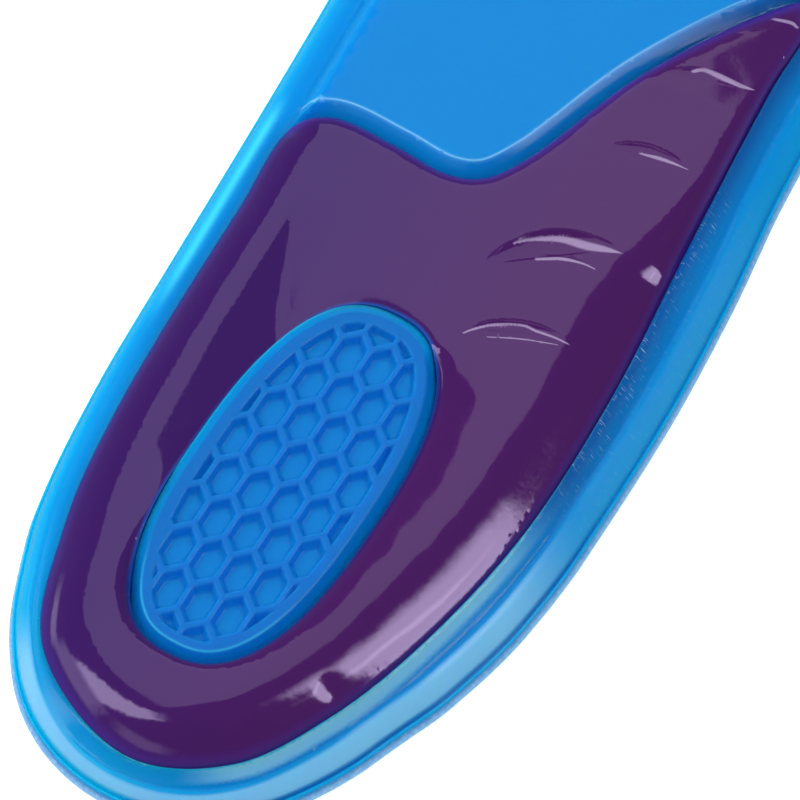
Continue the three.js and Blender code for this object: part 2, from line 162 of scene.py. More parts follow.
# Distances in from the wall's shoulder, and out from the pad's edge.
GROOVE_FLAT = 0.9
GROOVE_SHARE = 0.25
GROOVE_RISE = 2.3
GROOVE_DIP = 0.05
GROOVE_STOP = 0.1
GROOVE_SOFT = 0.2
LEAST_RUN = 0.3
GROOVE_FADE = (-0.75, 0.6)
BULGE_RUN = 2.9
PLATEAU_START = 3.0
PLATEAU_RUN = 2.0
STEP_START = 0.25
STEP_RUN = 1.9
STEP_BLEND = 0.2
# Middle, half-width and rise of the thin bead beside the pad.
BEAD = (0.35, 0.22, 0.10)

ISLAND_SIDE = table(
    "inset rise",
    (0.02, -TRAY_DEPTH), (0.08, -0.10), (0.30, 0.10), (0.50, 0.42), (0.75, 0.95), (1.00, 1.55),
    (1.15, 1.87), (1.26, 2.06), (1.36, 2.15), (1.50, 2.19), (1.70, STEP_HEIGHT))
ISLAND_SEAM = 0.05
WELD = 0.01

PAD_EDGE = (
    (-4.1, 4.6), (8.4, 9.5), (16.5, 20.8), (22.3, 35.4), (26.5, 54.5), (27.7, 77.6), (26.6, 103.7),
    (25.7, 129.7), (25.7, 141.4), (23.7, 144.9), (19.2, 140.3), (9.3, 123.5), (1.8, 104.7),
    (-1.8, 99.6), (-6.2, 98.1), (-13.9, 98.9), (-23.5, 99.1), (-27.9, 95.7), (-28.4, 81.6),
    (-28.4, 47.5), (-26.3, 29.3), (-20.6, 13.1))
# The pad's rounded side by y: its width and its share of the full rise on the outer and the inner side.
PAD_SIDE = table(
    "y outer_width outer_rise inner_width inner_rise",
    (0, 7.0, 0.95, 8.0, 1.0), (18, 6.0, 0.9, 9.5, 1.0), (35, 5.4, 0.86, 10.5, 1.0),
    (45, 5.0, 0.86, 10.5, 1.0), (88, 5.0, 0.86, 10.5, 1.0), (95, 5.0, 0.86, 8.5, 0.95),
    (103, 5.0, 0.86, 5.0, 0.86), (112, 5.0, 0.86, 2.2, 0.8), (150, 5.0, 0.86, 1.8, 0.8))
# How far the crown makes up for the shelf's fall at the heel, and how far the inner edge sinks in.
HEEL_LEVEL = 0.75
RIM_SINK = 0.8
RIM_SINK_RUN = 1.3
# The pad's quick edge at the window, and by y its share of the inner side's fall there and of the fall's run.
WINDOW_EDGE = table("inset share", (0, 0.45), (0.1, 0.55), (0.3, 0.68), (0.7, 0.85), (1.2, 0.95), (2, 1))
WINDOW_FALL = table(
    "y share run",
    (18, 0.0, 0.50), (30, 1.0, 0.60), (38, 1.0, 0.70), (42, 1.0, 0.85), (47, 1.0, 0.95), (55, 1.0, 1.10),
    (68, 1.0, 1.10), (73, 0.0, 1.10))
WINDOW_DROP = 0.36
WINDOW_RUN = 8.0
# On the outer side the pad falls from a ridge beside its edge towards the window, then slowly rises again.
# The fall is wider towards the heel, from nothing at the ridge's toe end.
RIDGE_SIDE = 6.6
RIDGE_SLOPE = 0.17
RIDGE_END = 86.0
RIDGE_SPREAD = 0.36
RIDGE_LARGEST = 9.0
RIDGE_BACK = 24.0
# The island is nearly flush with the pad on its outer and toe sides.
FLUSH_SIDE = (-0.454, 0.891)
FLUSH_RUN = 0.4
FLUSH_SHARE = 0.9
PAD_FRONT = table("inset share", (0, 0.3), (0.25, 0.55), (0.6, 0.75), (1.2, 0.9), (2.2, 0.98), (3.2, 1))
FRONT_FACING = 0.3
PAD_CROWN_POWER = 2.3
PAD_FALL = 0.05
# Slight waves of the pour: length, place in the noise and share of their height.
WAVES = ((13, 3.7, 1), (4, 8.1, 0.2))
WAVES_CLEAR = (4, 3)

# Where each wrinkle of the arm starts, crests and ends.
WRINKLES = (
    ((6.7, 77.0), (11.6, 80.7), (19.3, 81.7)), ((4.5, 86.5), (10.2, 95.3), (19.6, 97.1)),
    ((10.2, 91.3), (13.8, 92.8), (17.7, 93.4)), ((10.6, 110.6), (14.6, 113.0), (21.4, 112.6)),
    ((12.3, 124.8), (15.7, 127.3), (23.3, 127.3)), ((17.7, 135.4), (20.9, 137.9), (23.8, 138.5)))
WRINKLE_FALL = 0.4
WRINKLE_POWER = 4
WRINKLE_NICK = 0.14
WRINKLE_RAMP = 0.15
WRINKLE_ENDS = (0.3, 0.4)
NICK_RUN = 0.3
LEAST_ARC = 0.001
LARGEST_BOW = 4.0
FOLD_CLEAR = 2
# Where the mesh has lines along a fold: their step and span, shares of its arc, gaps past its crest and gaps
# from its chord. Then lines beside a painted highlight line on a crest, as shares of its half-width.
FOLD_STEP = 0.25
FOLD_SPAN = (0.02, 0.98)
FOLD_SHARES = (0, 0.2, 0.4, 0.6, 0.75, 0.86, 0.94, 1)
FOLD_GAPS = (0.12, 0.3, 0.7)
NICK_GAPS = (-0.1, 0.08, 0.18, 0.3)
CREST_LINES = (-1.2, -0.7, 0, 0.7, 1.2)
CREST_LEAST = 0.03
CREST_SOFT = 0.6
CREST_STEPS = 8
# Painted highlight lines on the crests of the folds: places along each, and the line's half-width there.
FOLD_HIGHLIGHTS = (
    ((7.0, 76.4, 0.10), (7.9, 77.5, 0.16), (9.9, 79.2, 0.18), (13.2, 80.8, 0.18), (15.4, 80.9, 0.18),
     (17.6, 81.1, 0.16), (19.6, 81.1, 0.12)),
    ((10.0, 77.3, 0.06), (14.1, 79.0, 0.10), (18.6, 80.3, 0.06)),
    ((6.8, 91.3, 0.08), (8.8, 93.1, 0.26), (12.0, 94.8, 0.46), (15.4, 95.5, 0.65), (18.0, 96.2, 0.42),
     (19.8, 96.6, 0.06)),
    ((10.5, 90.7, 0.20), (13.3, 92.2, 0.25), (15.9, 92.8, 0.16), (17.9, 92.8, 0.08)),
    ((15.3, 111.7, 0.12), (17.5, 112.1, 0.26), (19.7, 112.3, 0.20), (21.8, 112.3, 0.05)),
    ((15.7, 126.7, 0.20), (17.0, 127.7, 0.40), (19.6, 127.7, 0.45), (22.3, 127.7, 0.35),
     (24.0, 127.9, 0.08)),
    ((21.3, 140.3, 0.25), (23.5, 140.8, 0.30), (24.5, 140.5, 0.20)))
# Lumps and dimples of the pour: middle, half-widths and rise.
BUMPS = ((25.2, 97.4, 2.2, 1.7, 0.4), (15.0, 23.2, 1.3, 1.2, -0.22))

# Where a look or a form fades in: its start and its run in millimetres, a negative run where it fades out.
FADES = {
    "thin rim": (1.5, 3.5), "inner side": (-10, 20), "front": (92, 6), "front side": (14, -6),
    "beside pad": (0, 3.2), "deep heel": (66, -16), "crease side": (-5, 15), "crease heel": (70, -15),
    "wall foot": (1.0, 0.25), "wall top": (-0.5, 0.35), "bead start": (0.1, 0.2), "bead end": (1.2, 0.4),
    "bead side": (2, 8), "pale side": (-12, 10), "pale heel": (18, -8), "pale arch": (120, -20),
    "pale length": (62, -18), "plateau front": (90, 6), "streak start": (60, 14), "streak end": (101, -6),
    "ring": (34, -10), "scuff start": (55, 8), "scuff end": (118, -12), "scuff bead": (1.2, 1.2),
    "island": (0.9, 0.5), "pad front": (0, 2.2), "pad side": (0, 1.6), "pad window": (0, 0.5),
    "pad across": (-12, 20), "ridge": (38, 8)}
# Thin lines of a look: their middle and half-width in millimetres.
LINES = {"crease": (0.92, 0.26), "plateau crest": (STEP_START + STEP_RUN, 0.13), "streak": (3.6, 0.7),
         "ring": (1.42, 0.1)}
# Where looks begin: heights over the floor, a gap beside the pad, and the scuffs' side and gap.
SOLE_FROM = LIP_TOP - 0.6
OVER_CLOTH = 1.7
DEEP_FROM = -0.2
SCUFF_FROM = (15, 0.1)
# How much of a look is left, or lost, where another one fades in.
RIM_LOSS = 0.6
FRONT_LOSS = 0.6
HEEL_LOSS = 0.85
SCUFF_LOSS = 0.8
OUTER_DEEP = 0.3
CREASE_SHARES = (0.25, 0.45)
PALE_SHARES = (0.1, 0.9)
RING_SHARE = 0.6
EDGE_SHARE = 0.5

# Lights that only the gloss shows: turn and height in degrees, size in metres, radiance, roll in degrees, and
# the share of each side over which the glow fades out.
GLOSS_LIGHTS = (
    ("back softbox", 206, 57, (0.39, 0.92), 1.05, 0, None),
    ("right softbox", 100.5, 39, (0.55, 1.62), 7.5, -16, (0.18, 0.2)),
    ("right strip", 101, 54, (0.5, 0.14), 3.0, -16, (0.3, 0.5)),
    ("left softbox", 309, 54, (0.46, 1.26), 5.0, -8, (0.2, 0.2)),
    ("left card", 277, 10, (0.75, 0.34), 2.0, 0, (0.3, 0.3)),
    ("heel card", 304, 20, (0.75, 0.6), 1.6, 0, (0.25, 0.25)),
    ("front card", 350, 26, (1.2, 0.5), 1.1, 0, (0.3, 0.3)))
# Lights that only the colours show: the same up to the size, then their share of the fill.
FILL_LIGHTS = (("fill", 0, 88, (2.4, 2.4), 1), ("side fill", 265, 22, (1.4, 0.7), 2))
LIGHT_TARGET = (0, -0.08, 0)
LIGHT_DISTANCE = 1.2
FLOOR_HALF = 3
SENSOR_WIDTH = 36
CLIP_START = 0.05


def linear(code):
    """A hex sRGB colour as linear red, green and blue."""
    parts = [int(code[i:i + 2], 16) / 255 for i in (1, 3, 5)]
    return tuple(c / 12.92 if c <= 0.04045 else ((c + 0.055) / 1.055) ** 2.4 for c in parts)


def smooth(t):
    """Smoothstep of a share, held between nought and one."""
    t = np.clip(t, 0, 1)
    return t * t * (3 - 2 * t)


def fade(values, look):
    """How far a look has faded in at each value."""
    start, run = FADES[look]
    return smooth((values - start) / run)


def line_share(values, look):
    """How far each value lies on a look's thin line."""
    middle, half = LINES[look]
    return np.exp(-((values - middle) / half) ** 2)


def between(a, b, c, d, t):
    """The place at a share of the way from b to c on a smooth curve through four places."""
    return b + 0.5 * t * (c - a + t * (2 * a - 5 * b + 4 * c - d + t * (3 * (b - c) + d - a)))


def smooth_column(rows, key):
    """A table's column as a smooth function of y that never swings past its rows."""
    at, values = rows["y"], rows[key]
    slopes = np.diff(values) / np.diff(at)
    before, after = slopes[:-1], slopes[1:]
    same = before * after > 0
    tangents = np.zeros(len(at))
    tangents[1:-1][same] = 2 * before[same] * after[same] / (before[same] + after[same])

    def value(y):
        y = np.clip(y, at[0], at[-1])
        i = np.clip(np.searchsorted(at, y, side="right") - 1, 0, len(at) - 2)
        span = at[i + 1] - at[i]
        t = (y - at[i]) / span
        u = 1 - t
        start = (values[i] * (1 + 2 * t) + tangents[i] * span * t) * u * u
        end = (values[i + 1] * (3 - 2 * t) - tangents[i + 1] * span * u) * t * t
        return start + end

    return value


lateral = smooth_column(SIDES, "lateral")
medial = smooth_column(SIDES, "medial")
shelf = smooth_column(HEIGHTS, "shelf")
plateau = smooth_column(HEIGHTS, "plateau")
hollow = smooth_column(HEIGHTS, "hollow")


def normals_of(line):
    """Outward normals of a closed anticlockwise line."""
    along = np.roll(line, -1, 0) - np.roll(line, 1, 0)
    out = np.stack((along[:, 1], -along[:, 0]), 1)
    return out / np.linalg.norm(out, axis=1, keepdims=True)


def evenly(line, count):
    """A closed line taken again at even steps."""
    ring = np.vstack((line, line[:1]))
    length = np.concatenate(((0,), np.cumsum(np.linalg.norm(np.diff(ring, axis=0), axis=1))))
    at = np.linspace(0, length[-1], count, endpoint=False)
    return np.stack([np.interp(at, length, ring[:, k]) for k in (0, 1)], 1)


def insole_outline():
    """The insole's outer line, up the inner side and back down the outer side."""
    turn = np.linspace(0, math.pi / 2, END_STATIONS, endpoint=False)
    heel = HEEL_ROUND * (1 - np.cos(turn))
    toe = LENGTH - TOE_ROUND * (1 - np.cos(turn))
    y = np.concatenate((heel, np.linspace(HEEL_ROUND, LENGTH - TOE_ROUND, SIDE_STATIONS), toe[::-1]))
    middle = (lateral(y) + medial(y)) / 2
    at_heel = np.maximum(0, 1 - y / HEEL_ROUND)
    at_toe = np.maximum(0, 1 - (LENGTH - y) / TOE_ROUND)
    rounding = np.sqrt(1 - at_heel ** 2) * (1 - at_toe ** TOE_FULLNESS) ** (1 / TOE_FULLNESS)
    up = np.stack((middle + (medial(y) - middle) * rounding, y), 1)
    down = np.stack((middle + (lateral(y) - middle) * rounding, y), 1)
    return np.vstack((up, down[-2:0:-1]))


def curve_through(points, steps=24):
    """A closed centripetal curve through points."""
    points = np.array(points, float)
    found = []
    for i in range(len(points)):
        a, b, c, d = (points[(i + k) % len(points)] for k in (-1, 0, 1, 2))
        times = np.cumsum([0] + [math.sqrt(np.linalg.norm(q - p)) for p, q in ((a, b), (b, c), (c, d))])
        t = np.linspace(times[1], times[2], steps, endpoint=False)[:, None]

        def mix(p, q, start, end):
            return ((end - t) * p + (t - start) * q) / (end - start)

        ab = mix(a, b, times[0], times[1])
        bc = mix(b, c, times[1], times[2])
        cd = mix(c, d, times[2], times[3])
        abc = mix(ab, bc, times[0], times[2])
        bcd = mix(bc, cd, times[1], times[3])
        found.append(mix(abc, bcd, times[1], times[2]))
    return np.vstack(found)


def window_outline():
    """The pad's oval window, a little fuller than an ellipse."""
    turn = np.linspace(0, 2 * math.pi, WINDOW_STEPS, endpoint=False)
    power = 2 / WINDOW_FULLNESS
    across = WINDOW_HALF[0] * np.sign(np.cos(turn)) * np.abs(np.cos(turn)) ** power
    along = WINDOW_HALF[1] * np.sign(np.sin(turn)) * np.abs(np.sin(turn)) ** power
    lean = math.radians(WINDOW_LEAN)
    x = WINDOW_CENTRE[0] + across * math.cos(lean) + along * math.sin(lean)
    y = WINDOW_CENTRE[1] + along * math.cos(lean) - across * math.sin(lean)
    return evenly(np.stack((x, y), 1), WINDOW_POINTS)


OUTLINE = insole_outline()
OUTWARD = normals_of(OUTLINE)
PAD_LINE = evenly(curve_through(PAD_EDGE), PAD_POINTS)
WINDOW_LINE = window_outline()


def inset_line(line, inset):
    """A closed line moved inwards, or outwards for a negative inset."""
    return line - normals_of(line) * inset


def side_inset(row, normals, y):
    """An inset that is the heel's, the outer side's or the inner side's by where the line faces."""
    share = np.where(y < LENGTH / 2, np.maximum(0, -normals[:, 1]) ** 2, 0)
    across = (1 + normals[:, 0]) / 2
    side = row["lateral"] + (row["medial"] - row["lateral"]) * across
    return side + (row["heel"] - side) * share


def nearest_points(points, line):
    """The nearest of a line's points to each point, and how far it is."""
    tree = KDTree(len(line))
    for i, (x, y) in enumerate(line):
        tree.insert((x, y, 0), i)
    tree.balance()
    found = [tree.find((x, y, 0))[1:] for x, y in points]
    return np.array([i for i, _ in found], int), np.array([gap for _, gap in found])


def measure(points, line):
    """Distance inside a closed line (negative outside) and the nearest of its points."""
    nearest, distance = nearest_points(points, line)
    inside = ((points - line[nearest]) * normals_of(line)[nearest]).sum(1) < 0
    for step in (-1, 0):
        start = line[(nearest + step) % len(line)]
        along = line[(nearest + step + 1) % len(line)] - start
        offset = points - start
        share = np.clip((offset * along).sum(1) / (along ** 2).sum(1), 0, 1)
        gap = offset - share[:, None] * along
        length = np.linalg.norm(gap, axis=1)
        closer = length < distance
        side = gap[:, 0] * along[:, 1] - gap[:, 1] * along[:, 0] < 0
        inside = np.where(closer, side, inside)
        distance = np.where(closer, length, distance)
    return np.where(inside, distance, -distance), nearest


def wall_rows():
    """The wall's profile rows with smooth rows between them."""
    names = tuple(WALL)
    rows = np.stack([WALL[name] for name in names], 1)
    padded = np.vstack((rows[:1], rows, rows[-1:]))
    found = []
    for i in range(1, len(padded) - 2):
        for t in np.arange(WALL_STEPS) / WALL_STEPS:
            found.append(between(*padded[i - 1:i + 3], t))
    found.append(rows[-1])
    return [dict(zip(names, row)) for row in found]


SHOULDER = {name: WALL[name][-1] for name in WALL}


def base_fields(points):
    """In from the wall's shoulder, out from the pad, into the window, and how far a side is grooved."""
    inside, nearest = measure(points, OUTLINE)
    shoulder = inside - side_inset(SHOULDER, OUTWARD[nearest], OUTLINE[nearest, 1])
    grooved = smooth((OUTWARD[nearest, 0] - GROOVE_FADE[0]) / GROOVE_FADE[1])
    pad = -measure(points, PAD_LINE)[0]
    window = measure(points, WINDOW_LINE)[0]
    return shoulder, pad, window, grooved


def base_height(points):
    """Height of the gel's sole face inside the wall's shoulder."""
    y = points[:, 1]
    shoulder, pad, window, grooved = base_fields(points)
    ground = shelf(y)
    room = shoulder + pad
    below = 1 - SHOULDER["bulge"] - (SHOULDER["climb"] - SHOULDER["bulge"]) * grooved
    drop = below * (ground - LIP_TOP)
    flat = np.minimum(GROOVE_FLAT, GROOVE_SHARE * room)
    climb = np.clip((shoulder - flat) / np.clip(room - flat - GROOVE_STOP, LEAST_RUN, GROOVE_RISE), 0, 1)
    climb = (1 - GROOVE_SOFT) * climb + GROOVE_SOFT * smooth(climb)
    groove = drop * (1 - climb) + GROOVE_DIP * np.sin(math.pi * np.clip(shoulder / flat, 0, 1))
    bulge = drop * (1 - np.clip(shoulder / np.clip(room, LEAST_RUN, BULGE_RUN), 0, 1)) ** 2
    groove = bulge + (groove - bulge) * grooved
    lift = (plateau(y) - ground) * smooth((shoulder - PLATEAU_START) / PLATEAU_RUN)
    step = STEP_HEIGHT * np.clip((pad - STEP_START) / STEP_RUN, 0, 1)
    blend = np.maximum(STEP_BLEND - np.abs(lift - step), 0) / STEP_BLEND
    raised = np.where(lift < 0, lift, np.minimum(lift, step) - blend ** 2 * STEP_BLEND / 4)
    bead = BEAD[2] * grooved * np.exp(-((pad - BEAD[0]) / BEAD[1]) ** 2)
    face = np.where(pad < 0, ground - TRAY_DEPTH, ground - groove + raised + bead)
    rise = np.interp(window, ISLAND_SIDE["inset"], ISLAND_SIDE["rise"])
    level = FLUSH_SHARE * flush(measure(points, WINDOW_LINE)[1]) * (window > ISLAND_SEAM)
    island = ground + STEP_HEIGHT - (STEP_HEIGHT - rise) * (1 - level)
    return np.where(window > ISLAND_SIDE["inset"][0] - WELD, island, face)


def base_points(shoulder, sizes):
    """Free points of the base's mesh: rings at its edges, coarse grids and close rows for the pits."""
    free = [inset_line(shoulder, inset) for inset in SHOULDER_RINGS]
    free += [inset_line(PAD_LINE, -gap) for gap in STEP_RINGS]
    free = np.vstack([*free, grid(*PLATEAU_GRID)])
    inside, pad, _, _ = base_fields(free)
    free = free[(inside > RING_CLEAR[0]) & (pad > RING_CLEAR[1])]
    tray = grid(*TRAY_GRID)
    _, pad, window, _ = base_fields(tray)
    tray = tray[(pad < -TRAY_CLEAR) & (window < -TRAY_CLEAR)]
    step = sizes.pitch / MM / (2 * PIT_STEPS)
    squash = sizes.pitch * ROW_SHARE / sizes.row
    comb = grid(*COMB_BOX, step / ROW_SHARE)[:, ::-1]
    comb[:, 1] /= squash
    comb[:, 0] += comb[:, 1] * math.tan(math.radians(WINDOW_LEAN))
    comb += PIT_CENTRE
    comb = comb[measure(comb, WINDOW_LINE)[0] > COMB_CLEAR]
    return np.vstack((free, tray, comb))


def foot_rings(lift, first):
    """Rings of the foot side at a lift, from the spine out to the first row that is wanted."""
    spine_y = np.clip(OUTLINE[:, 1], SPINE_HEEL, LENGTH - SPINE_TOE)
    spine = np.stack(((lateral(spine_y) + medial(spine_y)) / 2, spine_y), 1)
    last = OUTLINE - OUTWARD * FOOT_SIDE["inset"][-1]
    rings = []
    for share in (1, 0.5):
        flat = last + (spine - last) * share
        rings.append(np.column_stack((flat, hollow(flat[:, 1]) - RIM + lift)))
    for row in range(len(FOOT_SIDE["inset"]) - 1, first - 1, -1):
        flat = OUTLINE - OUTWARD * FOOT_SIDE["inset"][row]
        height = FOOT_SIDE["climb"][row] * (hollow(flat[:, 1]) - RIM) + lift
        rings.append(np.column_stack((flat, height)))
    return rings


def folds():
    """Each wrinkle's start, its chord, the unit vector across it and its bow."""
    for start, crest, end in np.array(WRINKLES):
        chord = end - start
        across = np.array((-chord[1], chord[0])) / np.linalg.norm(chord)
        yield start, chord, across, np.dot(crest - start, across)


def wrinkle_height(points, rise):
    """Crescent folds: a nick at the chord, a scarp that steepens to its crest, then a quick fall."""
    total = np.zeros(len(points))
    for start, chord, across, bow in folds():
        s = (points - start) @ chord / (chord @ chord)
        c = (points - start) @ across
        held = np.clip(s, 0, 1)
        arc = np.maximum(4 * bow * held * (1 - held), LEAST_ARC)
        share = np.clip(c / arc, 0, 1)
        nick = WRINKLE_NICK * smooth(c / np.minimum(NICK_RUN, arc / 2))
        scarp = WRINKLE_RAMP * share + (1 - WRINKLE_RAMP) * share ** WRINKLE_POWER
        up = nick + (1 - WRINKLE_NICK) * scarp
        down = 1 - smooth((c - arc) / WRINKLE_FALL)
        ends = smooth(s / WRINKLE_ENDS[0]) * smooth((1 - s) / WRINKLE_ENDS[1])
        total += rise * bow / LARGEST_BOW * ends * np.where(c > arc, down, up) * ((s > 0) & (s < 1))
    return total


def fold_points():
    """Points along each fold's lines, closer together towards its crest."""
    found = []
    for start, chord, across, bow in folds():
        s = np.linspace(*FOLD_SPAN, int(np.linalg.norm(chord) / FOLD_STEP))
        arc = 4 * bow * s * (1 - s)
        lines = [arc * share for share in FOLD_SHARES]
        lines += [arc + gap for gap in FOLD_GAPS]
        lines += [np.full(len(s), gap) for gap in NICK_GAPS]
        found += [start + s[:, None] * chord + line[:, None] * across for line in lines]
    for line in highlight_lines():
        along = np.gradient(line[:, :2], axis=0)
        across = np.stack((-along[:, 1], along[:, 0]), 1) / np.linalg.norm(along, axis=1, keepdims=True)
        found += [line[:, :2] + line[:, 2:] * share * across for share in CREST_LINES]
    return np.vstack(found)


def highlight_lines():
    """Each painted highlight line on a fold's crest as a smooth line of places and half-widths."""
    for crest in map(np.array, FOLD_HIGHLIGHTS):
        padded = np.vstack((2 * crest[0] - crest[1], crest, 2 * crest[-1] - crest[-2]))
        found = [crest[-1]]
        for i in range(len(crest) - 1, 0, -1):
            for t in np.linspace(1, 0, CREST_STEPS, endpoint=False)[1:]:
                found.append(between(*padded[i - 1:i + 3], t))
            found.append(padded[i])
        line = np.array(found)
        line[:, 2] = np.maximum(line[:, 2], CREST_LEAST)
        yield line


def highlight_share(points):
    """How far each point lies on a painted highlight line of a fold's crest."""
    most = np.zeros(len(points))
    for line in highlight_lines():
        for start, end in zip(line[:-1], line[1:]):
            along = (end - start)[:2]
            t = np.clip((points - start[:2]) @ along / (along @ along), 0, 1)
            gap = np.linalg.norm(points - start[:2] - t[:, None] * along, axis=1)
            width = start[2] + t * (end[2] - start[2])
            most = np.maximum(most, 1 - smooth((gap / width - CREST_SOFT) / CREST_SOFT))
    return most


def flush(nearest):
    """How far the island's rim is flush with the pad beside a point of the window's line."""
    return smooth(normals_of(WINDOW_LINE)[nearest] @ np.array(FLUSH_SIDE) / FLUSH_RUN)


def pad_distances(points):
    """Distances from the pad's sides, front and window, its share of drop there and how flush it is."""
    edge, nearest = measure(points, PAD_LINE)
    edge = np.maximum(edge, 0)
    fine = evenly(PAD_LINE, 4 * PAD_POINTS)
    front = normals_of(fine)[:, 1] > FRONT_FACING
    at_front = normals_of(PAD_LINE)[nearest, 1] > FRONT_FACING
    side = np.where(at_front, nearest_points(points, fine[~front])[1], edge)
    ahead = np.where(at_front, edge, nearest_points(points, fine[front])[1])
    inner, nearest = measure(points, WINDOW_LINE)
    inner = np.maximum(-inner, 0)
    share, run = (np.interp(points[:, 1], WINDOW_FALL["y"], WINDOW_FALL[name]) for name in ("share", "run"))
    share = np.where(points[:, 0] > WINDOW_CENTRE[0], share, 0)
    drop = WINDOW_DROP * run * share * (1 - np.clip(inner / (WINDOW_RUN * run), 0, 1)) ** 2
    return side, ahead, inner, drop, flush(nearest)


def ridge_fall(side, y):
    """How far in from the outer ridge the pad has fallen, less what it has risen again."""
    width = np.clip((RIDGE_END - y) * RIDGE_SPREAD, 0, RIDGE_LARGEST)
    beyond = side - RIDGE_SIDE
    return np.clip(beyond, 0, width) - width * np.clip((beyond - width) / RIDGE_BACK, 0, 1)


def pad_height(points, sizes):
    """Height of the pad's top: crowned sides, a quick front and inner edge, folds and slight waves."""
    x, y = points[:, 0], points[:, 1]
    side, ahead, inner, drop, level = pad_distances(points)
    taper = np.clip((PAD_TIP - y) / PAD_REACH, PAD_LEAST, 1)
    outer_width, outer_rise, inner_width, inner_rise = (
        np.interp(y, PAD_SIDE["y"], PAD_SIDE[name]) for name in list(PAD_SIDE)[1:])
    across = fade(x, "pad across")
    width = outer_width + (inner_width - outer_width) * across
    share = np.clip(side / (width * taper), 0, 1)
    rise = sizes.crown / MM * (outer_rise + (inner_rise - outer_rise) * across)
    rise += HEEL_LEVEL * np.maximum(0, HEIGHTS["shelf"].max() - shelf(y)) * (y < LENGTH / 4)
    crown = rise * taper * (1 - (1 - share) ** PAD_CROWN_POWER)
    edge = np.interp(inner, WINDOW_EDGE["inset"], WINDOW_EDGE["share"])
    crown = crown * (1 - (1 - edge) * (1 - FLUSH_SHARE * level)) * (1 - drop)
    crown -= RIDGE_SLOPE * ridge_fall(side, y) * (1 - across) * fade(y, "ridge")
    crown -= RIM_SINK * across * (1 - np.clip(side / RIM_SINK_RUN, 0, 1)) ** 2
    crown = crown * np.interp(ahead, PAD_FRONT["inset"], PAD_FRONT["share"])
    waves = np.array([sum(part * noise.noise(Vector((px / length, py / length, seed)))
                          for length, seed, part in WAVES) for px, py in points])
    clear = smooth(np.minimum(side, ahead) / WAVES_CLEAR[0])
    waves = waves * sizes.waves / MM * clear * smooth(inner / WAVES_CLEAR[1])
    relief = wrinkle_height(points, sizes.fold / MM) * smooth(side / FOLD_CLEAR)
    for middle_x, middle_y, half_x, half_y, lift in BUMPS:
        relief += lift * np.exp(-((x - middle_x) / half_x) ** 2 - ((y - middle_y) / half_y) ** 2)
    return shelf(y) - PAD_FALL + crown + waves + relief


def pad_floor(points):
    """Height of the pad's underside, just over the tray."""
    return shelf(points[:, 1]) - TRAY_DEPTH + PAD_SEAT


def grid(low, high, step):
    """Points of a triangular grid over a box."""
    xs = np.arange(low[0], high[0], step)
    ys = np.arange(low[1], high[1], step * ROW_SHARE)
    found = [np.stack((xs + (k % 2) * step / 2, np.full(len(xs), y)), 1) for k, y in enumerate(ys)]
    return np.vstack(found)


def filled(loops, free, wanted):
    """Triangles over closed loops and free points, keeping those whose middles are wanted."""
    points = [Vector(p) for p in np.vstack([*loops, free])]
    edges, start = [], 0
    for loop in loops:
        count = len(loop)
        edges += [(start + i, start + (i + 1) % count) for i in range(count)]
        start += count
    found, _, faces, _, _, _ = delaunay_2d_cdt(points, edges, [], 0, FILL_CLOSE)
    found = np.array([tuple(p) for p in found])
    faces = np.array([tuple(f) for f in faces])
    corners = found[faces]
    u, v = corners[:, 1] - corners[:, 0], corners[:, 2] - corners[:, 0]
    turned = u[:, 0] * v[:, 1] - u[:, 1] * v[:, 0] < 0
    faces[turned] = faces[turned][:, ::-1]
    return found, faces[wanted(corners.mean(1))]


class Shell:
    """Vertices and faces gathered patch by patch in millimetres, then welded into one mesh."""

    def __init__(self):
        self.points, self.faces, self.count = [], [], 0

    def patch(self, flat, heights, faces):
        """Adds a patch of triangles over the plan."""
        self.points.append(np.column_stack((flat, heights)))
        self.faces += (np.asarray(faces) + self.count).tolist()
        self.count += len(flat)

    def rings(self, rings):
        """Adds bands between closed rings of as many points each."""
        count = len(rings[0])
        for k in range(len(rings) - 1):
            for i in range(count):
                j = (i + 1) % count
                low, high = self.count + k * count, self.count + (k + 1) * count
                self.faces.append([low + i, low + j, high + j, high + i])
        self.points += rings
        self.count += count * len(rings)

    def mesh(self, name, angle):
        """The welded mesh in metres, its faces outwards and smooth save at sharp edges."""
        points = np.vstack(self.points)
        points[:, :2] += ORIGIN
        mesh = bpy.data.meshes.new(name)
        mesh.from_pydata((points * MM).tolist(), [], self.faces)
        cells = bmesh.new()
        cells.from_mesh(mesh)
        bmesh.ops.remove_doubles(cells, verts=cells.verts, dist=SAME_PLACE)
        bmesh.ops.dissolve_degenerate(cells, edges=cells.edges, dist=LEAST_EDGE)
        bmesh.ops.triangulate(cells, faces=cells.faces)
        bmesh.ops.recalc_face_normals(cells, faces=cells.faces)
        cells.to_mesh(mesh)
        cells.free()
        mesh.shade_smooth()
        mesh.set_sharp_from_angle(angle=math.radians(angle))
        return mesh


def plan_of(mesh):
    """A mesh's vertices in the tables' millimetres."""
    flat = np.empty(len(mesh.vertices) * 3)
    mesh.vertices.foreach_get("co", flat)
    points = flat.reshape(-1, 3) / MM
    points[:, :2] -= ORIGIN
    return points


def store(mesh, name, values):
    """Keeps one number per vertex for the materials and node trees."""
    layer = mesh.attributes.new(name, "FLOAT", "POINT")
    layer.data.foreach_set("value", np.asarray(values, np.float32))


